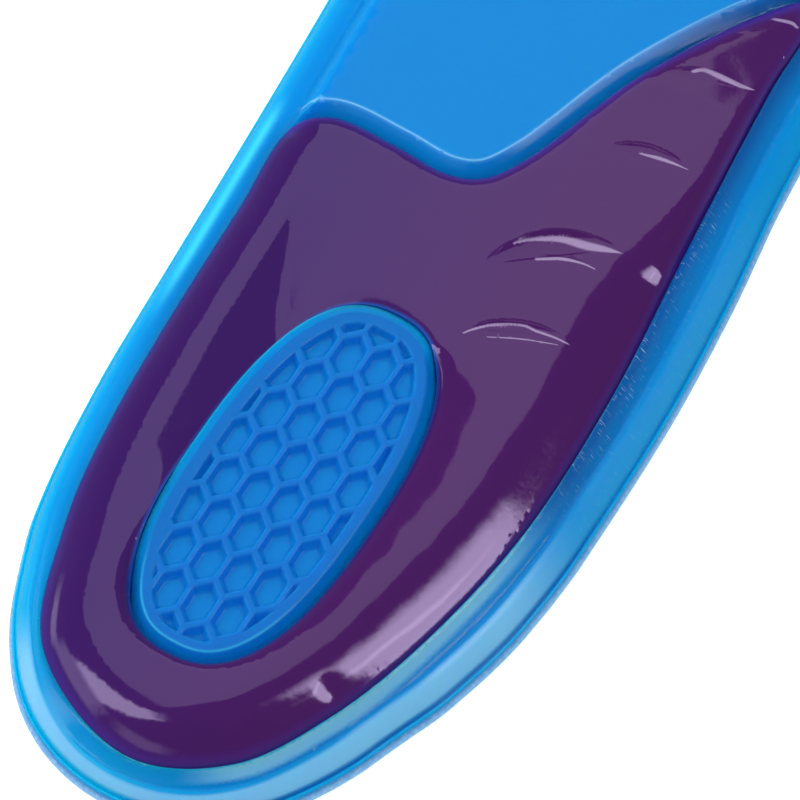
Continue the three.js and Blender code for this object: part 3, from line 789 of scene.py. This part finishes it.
def paint_base(mesh):
    """Keeps where the blue gel gets painted rim light, painted shade, painted reflections and highlights, a
    painted glow and real scuffs, and the room for pits.
    """
    points = plan_of(mesh)
    x, y, z = points[:, 0], points[:, 1], points[:, 2]
    inside, _ = measure(points[:, :2], OUTLINE)
    shoulder, pad, window, _ = base_fields(points[:, :2])
    inner = fade(x, "inner side")
    store(mesh, "room", (window - ISLAND_BORDER) * MM)
    store(mesh, "island", fade(window, "island"))
    # Painted light: the thin outer wall above the cloth is painted brighter, less so on the inner side.
    store(mesh, "rim", np.where(z > SOLE_FROM, 1 - fade(inside, "thin rim"), 0) * (1 - RIM_LOSS * inner))
    # Painted shade: the gel is painted darker in the trench beside the pad, less at its front, on the outer
    # side and at the heel, and along the crease at the wall's foot, most at the heel.
    front = fade(y, "front") * fade(x, "front side")
    painted_shade = np.where((pad > DEEP_FROM) & (window < 0), 1 - fade(pad, "beside pad"), 0)
    painted_shade = painted_shade * (1 - FRONT_LOSS * front)
    painted_shade = painted_shade * (OUTER_DEEP + (1 - OUTER_DEEP) * inner) * (1 - HEEL_LOSS * fade(y, "deep heel"))
    crease = line_share(inside, "crease") * fade(x, "crease side") * (z > OVER_CLOTH)
    crease = (CREASE_SHARES[0] + CREASE_SHARES[1] * fade(y, "crease heel")) * crease
    store(mesh, "painted_shade", np.maximum(painted_shade, crease))
    # Painted reflection: the inner heel wall and the bead beside the pad are painted pale, and a thin painted
    # highlight line runs along the plateau's crest at the front.
    wall = fade(inside, "wall foot") * (1 - fade(shoulder, "wall top")) * (z > OVER_CLOTH)
    bead = fade(pad, "bead start") * (1 - fade(pad, "bead end")) * fade(x, "bead side")
    inner_heel = np.maximum(fade(x, "pale side"), fade(y, "pale heel"))
    along = PALE_SHARES[0] * fade(y, "pale arch") + PALE_SHARES[1] * fade(y, "pale length")
    crest = line_share(pad, "plateau crest") * fade(y, "plateau front") * (shoulder > PLATEAU_START)
    store(mesh, "painted_highlight", np.maximum(np.maximum(wall, bead) * inner_heel * along, crest))
    # Painted light: a bright painted streak along the outer wall where light would come through, and a
    # painted highlight line on the island's rim towards the heel.
    streak = line_share(inside, "streak") * fade(y, "streak start") * fade(y, "streak end")
    ring = RING_SHARE * line_share(window, "ring") * fade(y, "ring")
    store(mesh, "glow", np.maximum(np.where(x < 0, streak, 0), ring))
    rubbed = fade(y, "scuff start") * fade(y, "scuff end") * (1 - SCUFF_LOSS * fade(pad, "scuff bead"))
    store(mesh, "scuff", np.where((x > SCUFF_FROM[0]) & (pad > SCUFF_FROM[1]), rubbed, 0))


def paint_pad(mesh):
    """Keeps where the pad is thin and where its folds get painted highlight lines."""
    points = plan_of(mesh)[:, :2]
    _, ahead, inner, _, _ = pad_distances(points)
    side = np.maximum(measure(points, PAD_LINE)[0], 0)
    front = 1 - fade(ahead, "pad front")
    store(mesh, "edge", np.maximum(front, EDGE_SHARE * (1 - fade(side, "pad side"))))
    store(mesh, "window", 1 - fade(inner, "pad window"))
    # Painted highlight lines along the crests of the folds.
    store(mesh, "crest", highlight_share(points))


def place(mesh, material):
    """Puts a mesh in the scene with its material."""
    piece = bpy.data.objects.new(mesh.name, mesh)
    bpy.context.scene.collection.objects.link(piece)
    mesh.materials.clear()
    mesh.materials.append(material)
    return piece


def add(tree, kind, inputs=None, out=0, **settings):
    """Adds one node, its inputs set or linked, and gives one of its outputs, or the node for None."""
    node = tree.nodes.new(kind)
    for name, value in settings.items():
        setattr(node, name, value)
    for key, value in (inputs or {}).items():
        if isinstance(value, bpy.types.NodeSocket):
            tree.links.new(value, node.inputs[key])
        else:
            node.inputs[key].default_value = value
    return node if out is None else node.outputs[out]


def new_material(name):
    """An empty node material and its tree."""
    material = bpy.data.materials.new(name)
    material.use_nodes = True
    material.node_tree.nodes.clear()
    return material, material.node_tree


def blue_gel(colours):
    """Blue polyurethane gel from a polished mould."""
    material, tree = new_material("blue polyurethane gel")
    place_in = add(tree, "ShaderNodeTexCoord", out="Object")
    # Painted light: the thin rim is painted a brighter cyan where light would come through it, and painted
    # shade darkens the gel beside the dark pad.
    rim, painted_highlight, painted_shade, pit, island, glow, scuff = (
        add(tree, "ShaderNodeAttribute", attribute_name=name, out="Fac")
        for name in ("rim", "painted_highlight", "painted_shade", "pit", "island", "glow", "scuff"))
    # The honeycomb's rubbed tops are hazy and its pit floors clear and bright.
    comb = add(tree, "ShaderNodeMix", {0: pit, 6: (*colours.comb_top, 1), 7: (*colours.comb_floor, 1)},
               data_type="RGBA", out=2)
    # Scratches and lint about 1.3 mm long and 0.15 mm wide lie across the inner side's bead.
    across = add(tree, "ShaderNodeMapping",
                 {"Vector": place_in, "Scale": (1 / (1.3 * MM), 1 / (0.15 * MM), 0)})
    lint = add(tree, "ShaderNodeTexNoise", {"Vector": across, "Scale": 1, "Detail": 1})
    lint = add(tree, "ShaderNodeMapRange", {0: lint, 1: 0.66, 2: 0.74, 3: 0, 4: 0.6})
    lint = add(tree, "ShaderNodeMath", {0: lint, 1: scuff}, operation="MULTIPLY")
    colour = (*colours.gel, 1)
    # The layers paint over the gel in turn: painted rim light, painted reflection and highlight, painted
    # shade, the honeycomb, a painted glow and highlight, and real lint.
    for share, over in ((rim, (*colours.gel_painted_rim_light, 1)), (painted_highlight, (*colours.gel_painted_highlight, 1)),
                        (painted_shade, (*colours.gel_painted_shade, 1)), (island, comb),
                        (glow, (*colours.gel_painted_glow, 1)), (lint, (*colours.lint, 1))):
        colour = add(tree, "ShaderNodeMix", {0: share, 6: colour, 7: over}, data_type="RGBA", out=2)
    # Faint cloudiness keeps the gloss from looking machined.
    haze = add(tree, "ShaderNodeTexNoise", {"Vector": place_in, "Scale": 1 / (2.5 * MM), "Detail": 4})
    rough = add(tree, "ShaderNodeMapRange", {0: haze, 1: 0.3, 2: 0.7, 3: 0.1, 4: 0.22})
    rough = add(tree, "ShaderNodeMix", {0: island, 2: rough, 3: 0.4})
    grain = add(tree, "ShaderNodeTexNoise", {"Vector": place_in, "Scale": 1 / (0.5 * MM), "Detail": 3})
    bump = add(tree, "ShaderNodeBump", {"Strength": 0.08, "Distance": 0.1 * MM, "Height": grain})
    shade = add(tree, "ShaderNodeBsdfPrincipled",
                {"Base Color": colour, "Roughness": rough, "IOR": 1.5, "Normal": bump,
                 "Specular IOR Level": 0.13,
                 "Subsurface Weight": 0.8, "Subsurface Radius": (0.1, 0.55, 1.0), "Subsurface Scale": 5 * MM})
    add(tree, "ShaderNodeOutputMaterial", {"Surface": shade}, out=None)
    return material


def purple_gel(colours):
    """Deep purple polyurethane gel, poured and left glossy."""
    material, tree = new_material("purple polyurethane gel")
    place_in = add(tree, "ShaderNodeTexCoord", out="Object")
    # The pour is warmer towards the inner side, and its thin edges show the blue under them.
    side = add(tree, "ShaderNodeSeparateXYZ", {0: place_in})
    warm = add(tree, "ShaderNodeMapRange", {0: side, 1: -18 * MM, 2: 14 * MM})
    # The crests of its folds get painted highlight lines.
    edge, window, crest = (add(tree, "ShaderNodeAttribute", attribute_name=name, out="Fac")
                           for name in ("edge", "window", "crest"))
    colour = (*colours.pour, 1)
    for share, over in ((warm, colours.pour_warm), (edge, colours.pour_edge), (window, colours.pour_thin),
                        (crest, colours.pour_painted_highlight)):
        colour = add(tree, "ShaderNodeMix", {0: share, 6: colour, 7: (*over, 1)}, data_type="RGBA", out=2)
    # Dust and fine wear break the lilac reflections up a little.
    wear = add(tree, "ShaderNodeTexNoise", {"Vector": place_in, "Scale": 1 / (0.6 * MM), "Detail": 4})
    rough = add(tree, "ShaderNodeMapRange", {0: wear, 1: 0.3, 2: 0.75, 3: 0.04, 4: 0.1})
    bump = add(tree, "ShaderNodeBump", {"Strength": 0.03, "Distance": 0.1 * MM, "Height": wear})
    shade = add(tree, "ShaderNodeBsdfPrincipled",
                {"Base Color": colour, "Roughness": rough, "IOR": 1.5, "Normal": bump,
                 "Specular IOR Level": 0.6, "Specular Tint": (0.8, 0.65, 1, 1)})
    add(tree, "ShaderNodeOutputMaterial", {"Surface": shade}, out=None)
    return material


def cover_cloth(colours):
    """Pale knitted polyester, soft at its cut edge."""
    material, tree = new_material("knitted polyester cover")
    place_in = add(tree, "ShaderNodeTexCoord", out="Object")
    # Knit rows about two thirds of a millimetre apart.
    knit = add(tree, "ShaderNodeTexVoronoi", {"Vector": place_in, "Scale": 1 / (0.65 * MM)}, out="Distance")
    tone = add(tree, "ShaderNodeMix", {0: knit, 6: (*colours.cloth, 1), 7: (*colours.cloth_dark, 1)},
               data_type="RGBA", out=2)
    bump = add(tree, "ShaderNodeBump", {"Strength": 0.6, "Distance": 0.2 * MM, "Height": knit})
    shade = add(tree, "ShaderNodeBsdfPrincipled",
                {"Base Color": tone, "Roughness": 0.9, "Normal": bump, "Sheen Weight": 0.3})
    add(tree, "ShaderNodeOutputMaterial", {"Surface": shade}, out=None)
    return material


def floor_paper(colours):
    """White paper on a lit table."""
    material, tree = new_material("white paper")
    shade = add(tree, "ShaderNodeBsdfPrincipled",
                {"Base Color": (*colours.paper, 1), "Roughness": 0.9,
                 "Emission Color": (*colours.paper, 1), "Emission Strength": 0.5})
    add(tree, "ShaderNodeOutputMaterial", {"Surface": shade}, out=None)
    return material


def node_tree(name, inputs):
    """An empty geometry tree with named inputs, each of a socket kind."""
    tree = bpy.data.node_groups.new(name, "GeometryNodeTree")
    tree.interface.new_socket("Geometry", in_out="INPUT", socket_type="NodeSocketGeometry")
    for label, kind in inputs:
        tree.interface.new_socket(label, in_out="INPUT", socket_type="NodeSocket" + kind)
    tree.interface.new_socket("Geometry", in_out="OUTPUT", socket_type="NodeSocketGeometry")
    return tree, add(tree, "NodeGroupInput", out=None).outputs


def finish_tree(tree, geometry, material):
    """Ends a tree with plain geometry in one material."""
    real = add(tree, "GeometryNodeRealizeInstances", {"Geometry": geometry})
    painted = add(tree, "GeometryNodeSetMaterial", {"Geometry": real, "Material": material})
    add(tree, "NodeGroupOutput", {"Geometry": painted}, out=None)


def grown(piece, tree, values):
    """Runs a geometry tree on a piece and leaves a plain mesh."""
    modifier = piece.modifiers.new(tree.name, "NODES")
    modifier.node_group = tree
    for socket in tree.interface.items_tree:
        if socket.name in values:
            modifier[socket.identifier] = values[socket.name]
    shaped = piece.evaluated_get(bpy.context.evaluated_depsgraph_get())
    mesh = bpy.data.meshes.new_from_object(shaped)
    piece.modifiers.remove(modifier)
    old = piece.data
    piece.data = mesh
    bpy.data.meshes.remove(old)
    mesh.name = piece.name


def hexagon_distance(tree, place):
    """Nodes for the distance from a cell's middle, measured so that a hexagon is level."""
    part = add(tree, "ShaderNodeVectorMath", {0: place}, operation="ABSOLUTE")
    part = add(tree, "ShaderNodeSeparateXYZ", {0: part}, out=None).outputs
    half = add(tree, "ShaderNodeMath", {0: part[0], 1: 0.5}, operation="MULTIPLY")
    slant = add(tree, "ShaderNodeMath", {0: part[1], 1: ROW_SHARE, 2: half},
                operation="MULTIPLY_ADD")
    return add(tree, "ShaderNodeMath", {0: part[0], 1: slant}, operation="MAXIMUM")


def honeycomb_tree(material):
    """Presses a leaning, stretched honeycomb into the island wherever its room is above nought."""
    tree, given = node_tree("honeycomb", [
        ("Pitch", "Float"), ("Row", "Float"), ("Wall", "Float"), ("Depth", "Float"), ("Draft", "Float"),
        ("Lean", "Float"), ("Centre", "Vector")])
    place = add(tree, "GeometryNodeInputPosition")
    local = add(tree, "ShaderNodeVectorMath", {0: place, 1: given["Centre"]}, operation="SUBTRACT")
    local = add(tree, "ShaderNodeSeparateXYZ", {0: local}, out=None).outputs
    slope = add(tree, "ShaderNodeMath", {0: given["Lean"]}, operation="TANGENT")
    shear = add(tree, "ShaderNodeMath", {0: local[1], 1: slope}, operation="MULTIPLY")
    x = add(tree, "ShaderNodeMath", {0: local[0], 1: shear}, operation="SUBTRACT")
    tall = add(tree, "ShaderNodeMath", {0: given["Pitch"], 1: ROW_SHARE}, operation="MULTIPLY")
    squash = add(tree, "ShaderNodeMath", {0: tall, 1: given["Row"]}, operation="DIVIDE")
    y = add(tree, "ShaderNodeMath", {0: local[1], 1: squash}, operation="MULTIPLY")
    half = add(tree, "ShaderNodeMath", {0: given["Pitch"], 1: 0.5}, operation="MULTIPLY")
    least = []
    for shift in (0, 1):
        move = add(tree, "ShaderNodeMath", {0: half, 1: shift}, operation="MULTIPLY")
        lift = add(tree, "ShaderNodeMath", {0: tall, 1: shift}, operation="MULTIPLY")
        moved_x = add(tree, "ShaderNodeMath", {0: x, 1: move}, operation="SUBTRACT")
        moved_y = add(tree, "ShaderNodeMath", {0: y, 1: lift}, operation="SUBTRACT")
        minus = [add(tree, "ShaderNodeMath", {0: s, 1: -1}, operation="MULTIPLY") for s in (half, tall)]
        cell_x = add(tree, "ShaderNodeMath", {0: moved_x, 1: half, 2: minus[0]}, operation="WRAP")
        cell_y = add(tree, "ShaderNodeMath", {0: moved_y, 1: tall, 2: minus[1]}, operation="WRAP")
        cell = add(tree, "ShaderNodeCombineXYZ", {0: cell_x, 1: cell_y})
        least.append(hexagon_distance(tree, cell))
    away = add(tree, "ShaderNodeMath", {0: least[0], 1: least[1]}, operation="MINIMUM")
    rib = add(tree, "ShaderNodeMath", {0: given["Wall"], 1: 0.5, 2: away}, operation="MULTIPLY_ADD")
    inside = add(tree, "ShaderNodeMath", {0: half, 1: rib}, operation="SUBTRACT")
    room = add(tree, "GeometryNodeInputNamedAttribute", {"Name": "room"}, data_type="FLOAT")
    inside = add(tree, "ShaderNodeMath", {0: inside, 1: room}, operation="MINIMUM")
    pit = add(tree, "ShaderNodeMapRange", {0: inside, 1: 0.0, 2: given["Draft"]},
              interpolation_type="SMOOTHSTEP")
    down = add(tree, "ShaderNodeMath", {0: pit, 1: given["Depth"]}, operation="MULTIPLY")
    down = add(tree, "ShaderNodeMath", {0: down, 1: -1}, operation="MULTIPLY")
    offset = add(tree, "ShaderNodeCombineXYZ", {2: down})
    kept = add(tree, "GeometryNodeStoreNamedAttribute",
               {"Geometry": given["Geometry"], "Name": "pit", "Value": pit},
               data_type="FLOAT", domain="POINT")
    pressed = add(tree, "GeometryNodeSetPosition", {"Geometry": kept, "Offset": offset})
    finish_tree(tree, pressed, material)
    return tree


def fibre_tree(material):
    """Grows short bent fibres out of a rim line, each with its own turn and size."""
    tree, given = node_tree("cut edge fibres", [
        ("Count", "Int"), ("Length", "Float"), ("Thickness", "Float"), ("Spread", "Float"), ("Seed", "Int")])
    line = add(tree, "GeometryNodeMeshToCurve", {0: given["Geometry"]})
    spots = add(tree, "GeometryNodeCurveToPoints", {"Curve": line, "Count": given["Count"]},
                out=None, mode="COUNT")
    low = add(tree, "ShaderNodeMath", {0: given["Spread"], 1: -1}, operation="MULTIPLY")
    near = add(tree, "ShaderNodeCombineXYZ", {0: low, 1: low, 2: low})
    far = add(tree, "ShaderNodeCombineXYZ", {i: given["Spread"] for i in range(3)})
    strew = add(tree, "FunctionNodeRandomValue", {0: near, 1: far, "Seed": given["Seed"]},
                data_type="FLOAT_VECTOR")
    spread = add(tree, "GeometryNodeSetPosition", {"Geometry": spots.outputs[0], "Offset": strew})
    hair = add(tree, "GeometryNodeCurveQuadraticBezier",
               {"Resolution": 4, "Start": (0, 0, 0), "Middle": FIBRE_BEND[0], "End": FIBRE_BEND[1]})
    profile = add(tree, "GeometryNodeCurvePrimitiveCircle", {"Resolution": 3, "Radius": given["Thickness"]},
                  mode="RADIUS")
    stretch = add(tree, "ShaderNodeCombineXYZ", {i: given["Length"] for i in range(3)})
    sized = add(tree, "GeometryNodeTransform", {"Geometry": hair, "Scale": stretch})
    hair = add(tree, "GeometryNodeCurveToMesh",
               {"Curve": sized, "Profile Curve": profile, "Fill Caps": True})
    turn = add(tree, "FunctionNodeAlignRotationToVector", {"Vector": spots.outputs["Normal"]}, axis="Z")
    sway = add(tree, "FunctionNodeRandomValue",
               {0: FIBRE_SWAY[0], 1: FIBRE_SWAY[1], "Seed": given["Seed"]},
               data_type="FLOAT_VECTOR")
    swayed = add(tree, "FunctionNodeRotateRotation", {"Rotation": turn, "Rotate By": sway},
                 rotation_space="LOCAL")
    scale = add(tree, "FunctionNodeRandomValue",
                {2: FIBRE_SIZES[0], 3: FIBRE_SIZES[1], "Seed": given["Seed"]}, out=1, data_type="FLOAT")
    grown_hair = add(tree, "GeometryNodeInstanceOnPoints",
                     {"Points": spread, "Instance": hair, "Rotation": swayed, "Scale": scale})
    finish_tree(tree, grown_hair, material)
    return tree


def colour_setting(name, about, code):
    """A colour given as hex sRGB."""
    return FloatVectorProperty(name=name, description=about, subtype="COLOR", default=linear(code))


def length_setting(name, about, millimetres):
    """A length given in millimetres."""
    return FloatProperty(name=name, description=about, default=millimetres * MM, unit="LENGTH")


class InsoleColours(bpy.types.PropertyGroup):
    """Colours of the gels, the cloth and the paper."""
    gel: colour_setting("Gel", "Blue gel in full light", "#058CDA")
    # Painted light on the thin outer wall.
    gel_painted_rim_light: colour_setting("Gel rim", "Painted light on the thin outer wall", "#05ABE4")
    # Painted reflection and painted highlight on the blue gel.
    gel_painted_highlight: colour_setting("Painted highlight on gel", "Painted reflection on the inner heel wall and painted highlight on the plateau's edge", "#7AC2F8")
    # Painted shade beside the pad and in the wall's crease.
    gel_painted_shade: colour_setting("Painted shade in the gel", "Painted shade beside the pad and in the wall's crease", "#0A58A6")
    # Painted glow streak and painted highlight line.
    gel_painted_glow: colour_setting(
        "Gel against the light", "Painted streak of light through the outer wall and painted highlight on the island's rim", "#40D2F8")
    comb_top: colour_setting("Honeycomb ribs", "Rubbed tops of the ribs", "#0F74C6")
    comb_floor: colour_setting("Honeycomb floors", "Floors of the pits", "#058ADA")
    lint: colour_setting("Lint", "Scratches and lint on the gel", "#BFE6F4")
    pour: colour_setting("Poured gel", "Purple gel of the pad", "#361060")
    pour_warm: colour_setting("Warm poured gel", "Purple gel on the inner side", "#430F5A")
    pour_edge: colour_setting("Poured edge", "Outer edge of the pad", "#3F2A94")
    pour_thin: colour_setting("Thin pour", "Edge of the pad at its window", "#1B4FA8")
    # Painted highlight lines on the fold crests.
    pour_painted_highlight: colour_setting("Painted highlight on the pour", "Painted highlight lines on the crests of the pad's folds", "#9C86B0")
    cloth: colour_setting("Cloth", "Cover cloth", "#94CAF2")
    cloth_dark: colour_setting("Cloth between stitches", "Cover cloth between its stitches", "#64ACE6")
    paper: colour_setting("Paper", "White floor", "#F8F8FA")


class InsoleSizes(bpy.types.PropertyGroup):
    """Sizes that set the look of the gel and the cloth edge."""
    pitch: length_setting("Pit pitch", "From pit to pit across the island", 4.33)
    row: length_setting("Pit row", "From row to row along the island", 5.81)
    wall: length_setting("Rib", "Width of the ribs between pits", 0.45)
    depth: length_setting("Pit depth", "Depth of the pits", 1.4)
    draft: length_setting("Pit draft", "Width of a pit's sloping side", 0.6)
    crown: length_setting("Pad crown", "Rise of the pad over its edge", 2.9)
    waves: length_setting("Waves", "Height of the pad's slight waves", 0.14)
    fold: length_setting("Folds", "Height of the largest crescent fold", 0.6)
    fibres: IntProperty(name="Fibres", description="Fibres along the cut edge", default=1500)
    fibre_length: length_setting("Fibre length", "Longest fibre", 0.5)
    fibre_thickness: length_setting("Fibre thickness", "Half the width of a fibre", 0.02)


class InsoleStage(bpy.types.PropertyGroup):
    """Where the camera stands and how bright the lights are."""
    azimuth: FloatProperty(
        name="Azimuth", description="Camera turn from the heel to the inner side", default=math.radians(27),
        unit="ROTATION")
    elevation: FloatProperty(
        name="Elevation", description="Camera height over the floor", default=math.radians(60),
        unit="ROTATION")
    distance: FloatProperty(
        name="Distance", description="Camera to the middle of the view", default=0.9, unit="LENGTH")
    lens: FloatProperty(name="Lens", description="Focal length", default=313.9)
    target: FloatVectorProperty(
        name="Target", description="Middle of the view", default=(0.00334, -0.0770, 0.0080), unit="LENGTH")
    ambient: FloatProperty(name="Ambient", description="Light from the room above", default=0.25)
    fill: FloatProperty(name="Fill", description="Light of the overhead fill", default=1.2)


class INSOLE_OT_base(bpy.types.Operator):
    """Builds the blue gel body with its honeycomb island"""
    bl_idname = "insole.base"
    bl_label = "Gel base"

    def execute(self, context):
        sizes = context.scene.insole_sizes
        material = blue_gel(context.scene.insole_colours)
        shell = Shell()
        rings = foot_rings(RIM, 0)
        grooved = smooth((OUTWARD[:, 0] - GROOVE_FADE[0]) / GROOVE_FADE[1])
        for row in wall_rows():
            flat = OUTLINE - OUTWARD * side_inset(row, OUTWARD, OUTLINE[:, 1])[:, None]
            climb = row["bulge"] + (row["climb"] - row["bulge"]) * grooved
            height = LIP_TOP + climb * (shelf(flat[:, 1]) - LIP_TOP) + row["lift"]
            rings.append(np.column_stack((flat, height)))
        shell.rings(rings)
        shoulder = rings[-1][:, :2]
        loops = [shoulder] + [inset_line(PAD_LINE, inset) for inset in TRAY_SIDE]
        loops += [inset_line(WINDOW_LINE, inset) for inset in ISLAND_SIDE["inset"]]
        flat, faces = filled(loops, base_points(shoulder, sizes),
                             lambda middles: measure(middles, shoulder)[0] > 0)
        shell.patch(flat, base_height(flat), faces)
        mesh = shell.mesh("gel_base_visual", BASE_SHARP)
        paint_base(mesh)
        piece = place(mesh, material)
        centre = (np.array(PIT_CENTRE) + ORIGIN) * MM
        grown(piece, honeycomb_tree(material), {
            "Pitch": sizes.pitch, "Row": sizes.row, "Wall": sizes.wall, "Depth": sizes.depth,
            "Draft": sizes.draft, "Lean": math.radians(WINDOW_LEAN), "Centre": (*centre, 0)})
        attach(piece, "root")
        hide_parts("gel_base")
        return {"FINISHED"}


class INSOLE_OT_pad(bpy.types.Operator):
    """Builds the poured purple pad round the island"""
    bl_idname = "insole.pad"
    bl_label = "Heel and arch pad"

    def execute(self, context):
        sizes = context.scene.insole_sizes
        material = purple_gel(context.scene.insole_colours)
        free = [inset_line(PAD_LINE, inset) for inset in PAD_RINGS]
        free += [inset_line(WINDOW_LINE, -gap) for gap in WINDOW_RINGS]
        free = np.vstack([*free, grid(*PAD_GRID), fold_points()])
        keep = (measure(free, PAD_LINE)[0] > PAD_CLEAR[0]) & (measure(free, WINDOW_LINE)[0] < -PAD_CLEAR[1])

        def wanted(middles):
            return (measure(middles, PAD_LINE)[0] > 0) & (measure(middles, WINDOW_LINE)[0] < 0)

        shell = Shell()
        loops = [PAD_LINE, WINDOW_LINE]
        flat, faces = filled(loops, free[keep], wanted)
        shell.patch(flat, pad_height(flat, sizes), faces)
        flat, faces = filled(loops, np.empty((0, 2)), wanted)
        shell.patch(flat, pad_floor(flat), faces[:, ::-1])
        for line in (PAD_LINE, WINDOW_LINE[::-1]):
            heights = (pad_floor(line), pad_height(line, sizes))
            shell.rings([np.column_stack((line, height)) for height in heights])
        mesh = shell.mesh("heel_arch_pad_visual", PAD_SHARP)
        paint_pad(mesh)
        piece = place(mesh, material)
        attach(piece, "root")
        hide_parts("heel_arch_pad")
        return {"FINISHED"}


class INSOLE_OT_cover(bpy.types.Operator):
    """Builds the cloth cover with its hairy cut edge"""
    bl_idname = "insole.cover"
    bl_label = "Cloth cover"

    def execute(self, context):
        sizes = context.scene.insole_sizes
        material = cover_cloth(context.scene.insole_colours)
        shell = Shell()
        edge = [np.column_stack((OUTLINE - OUTWARD * inset, np.full(len(OUTLINE), height)))
                for inset, height in COVER_EDGE]
        shell.rings(foot_rings(0, 1) + edge + foot_rings(COVER, 1)[::-1])
        mesh = shell.mesh("top_cover_visual", COVER_SHARP)
        piece = place(mesh, material)

        rim = np.column_stack((OUTLINE + ORIGIN, np.full(len(OUTLINE), FIBRE_HEIGHT))) * MM
        line = bpy.data.meshes.new("cover_fibres")
        line.from_pydata(rim.tolist(), [(i, (i + 1) % len(rim)) for i in range(len(rim))], [])
        fibres = place(line, material)
        grown(fibres, fibre_tree(material), {
            "Count": sizes.fibres, "Length": sizes.fibre_length, "Thickness": sizes.fibre_thickness,
            "Spread": FIBRE_SPREAD * MM, "Seed": FIBRE_SEED})
        for part in (piece, fibres):
            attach(part, "root")
        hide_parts("top_cover")
        return {"FINISHED"}


def direction(azimuth, elevation):
    """The unit vector towards a turn from the heel end and a height over the floor, in radians."""
    return Vector((math.sin(azimuth) * math.cos(elevation), -math.cos(azimuth) * math.cos(elevation),
                   math.sin(elevation)))


def softbox(name, turn, height, size, radiance, roll):
    """A soft light that faces the insole's middle from a turn and a height, rolled, in degrees."""
    light = bpy.data.lights.new(name, "AREA")
    light.shape = "RECTANGLE"
    light.size, light.size_y = size
    light.energy = radiance * math.pi * size[0] * size[1]
    lamp = bpy.data.objects.new(name, light)
    bpy.context.scene.collection.objects.link(lamp)
    away = direction(math.radians(turn), math.radians(height))
    lamp.location = Vector(LIGHT_TARGET) + away * LIGHT_DISTANCE
    rolled = Quaternion((0, 0, 1), math.radians(roll))
    lamp.rotation_euler = (away.to_track_quat("Z", "Y") @ rolled).to_euler()
    lamp.visible_camera = False
    return lamp


def soften(light, shares):
    """Fades a light's glow out over a share of its size at each edge, as a softbox's cloth does."""
    light.use_nodes = True
    tree = light.node_tree
    place = add(tree, "ShaderNodeNewGeometry", out="Parametric")
    place = add(tree, "ShaderNodeVectorMath", {0: place, 1: (0.5, 0.5, 0)}, operation="SUBTRACT")
    place = add(tree, "ShaderNodeVectorMath", {0: place}, operation="ABSOLUTE")
    parts = add(tree, "ShaderNodeSeparateXYZ", {0: place}, out=None).outputs
    fades = [add(tree, "ShaderNodeMapRange", {0: part, 1: 0.5 - share, 2: 0.5, 3: 1, 4: 0},
                 interpolation_type="SMOOTHSTEP") for part, share in zip(parts, shares)]
    glow = add(tree, "ShaderNodeMath", {0: fades[0], 1: fades[1]}, operation="MULTIPLY")
    tree.links.new(glow, tree.nodes["Emission"].inputs["Strength"])


class INSOLE_OT_stage(bpy.types.Operator):
    """Lays the floor and sets the lights and the camera"""
    bl_idname = "insole.stage"
    bl_label = "Stage"

    def execute(self, context):
        scene = context.scene
        stage = scene.insole_stage
        mesh = bpy.data.meshes.new("floor")
        corners = [(x * FLOOR_HALF, y * FLOOR_HALF, 0) for x, y in ((-1, -1), (1, -1), (1, 1), (-1, 1))]
        mesh.from_pydata(corners, [], [(0, 1, 2, 3)])
        floor = place(mesh, floor_paper(scene.insole_colours))
        floor.visible_glossy = False

        world = bpy.data.worlds.new("studio")
        world.use_nodes = True
        sky = world.node_tree.nodes["Background"].inputs
        sky["Strength"].default_value = stage.ambient
        sky["Color"].default_value = (1, 1, 1, 1)
        scene.world = world

        # The gloss shows these softboxes and cards, and the fill alone lights the colours.
        for *placing, soft in GLOSS_LIGHTS:
            lamp = softbox(*placing)
            lamp.visible_diffuse = False
            if soft:
                soften(lamp.data, soft)
        for name, turn, height, size, share in FILL_LIGHTS:
            softbox(name, turn, height, size, share * stage.fill, 0).visible_glossy = False

        camera = bpy.data.cameras.new("camera")
        camera.lens = stage.lens
        camera.sensor_width = SENSOR_WIDTH
        camera.clip_start = CLIP_START
        view = bpy.data.objects.new("camera", camera)
        scene.collection.objects.link(view)
        away = direction(stage.azimuth, stage.elevation)
        view.location = Vector(stage.target) + away * stage.distance
        view.rotation_euler = away.to_track_quat("Z", "Y").to_euler()
        scene.camera = view
        scene.view_settings.view_transform = "Standard"
        return {"FINISHED"}


class INSOLE_PT_panel(bpy.types.Panel):
    """Sidebar panel with the insole's settings and steps"""
    bl_idname = "INSOLE_PT_panel"
    bl_label = "Gel insole"
    bl_space_type = "VIEW_3D"
    bl_region_type = "UI"
    bl_category = "Insole"

    def draw(self, context):
        for group in (context.scene.insole_sizes, context.scene.insole_colours, context.scene.insole_stage):
            box = self.layout.box()
            for name in group.__annotations__:
                box.prop(group, name)
        for step in STEPS:
            self.layout.operator(step.bl_idname)


STEPS = (INSOLE_OT_base, INSOLE_OT_pad, INSOLE_OT_cover, INSOLE_OT_stage)
GROUPS = {"insole_colours": InsoleColours, "insole_sizes": InsoleSizes, "insole_stage": InsoleStage}


def register():
    for kind in (*GROUPS.values(), *STEPS, INSOLE_PT_panel):
        bpy.utils.register_class(kind)
    for name, kind in GROUPS.items():
        setattr(bpy.types.Scene, name, PointerProperty(type=kind))


def unregister():
    for name in GROUPS:
        delattr(bpy.types.Scene, name)
    for kind in (INSOLE_PT_panel, *reversed(STEPS), *GROUPS.values()):
        bpy.utils.unregister_class(kind)


def main():
    register()
    bpy.ops.insole.base()
    bpy.ops.insole.pad()
    bpy.ops.insole.cover()
    bpy.ops.insole.stage()


if __name__ == "__main__":
    main()
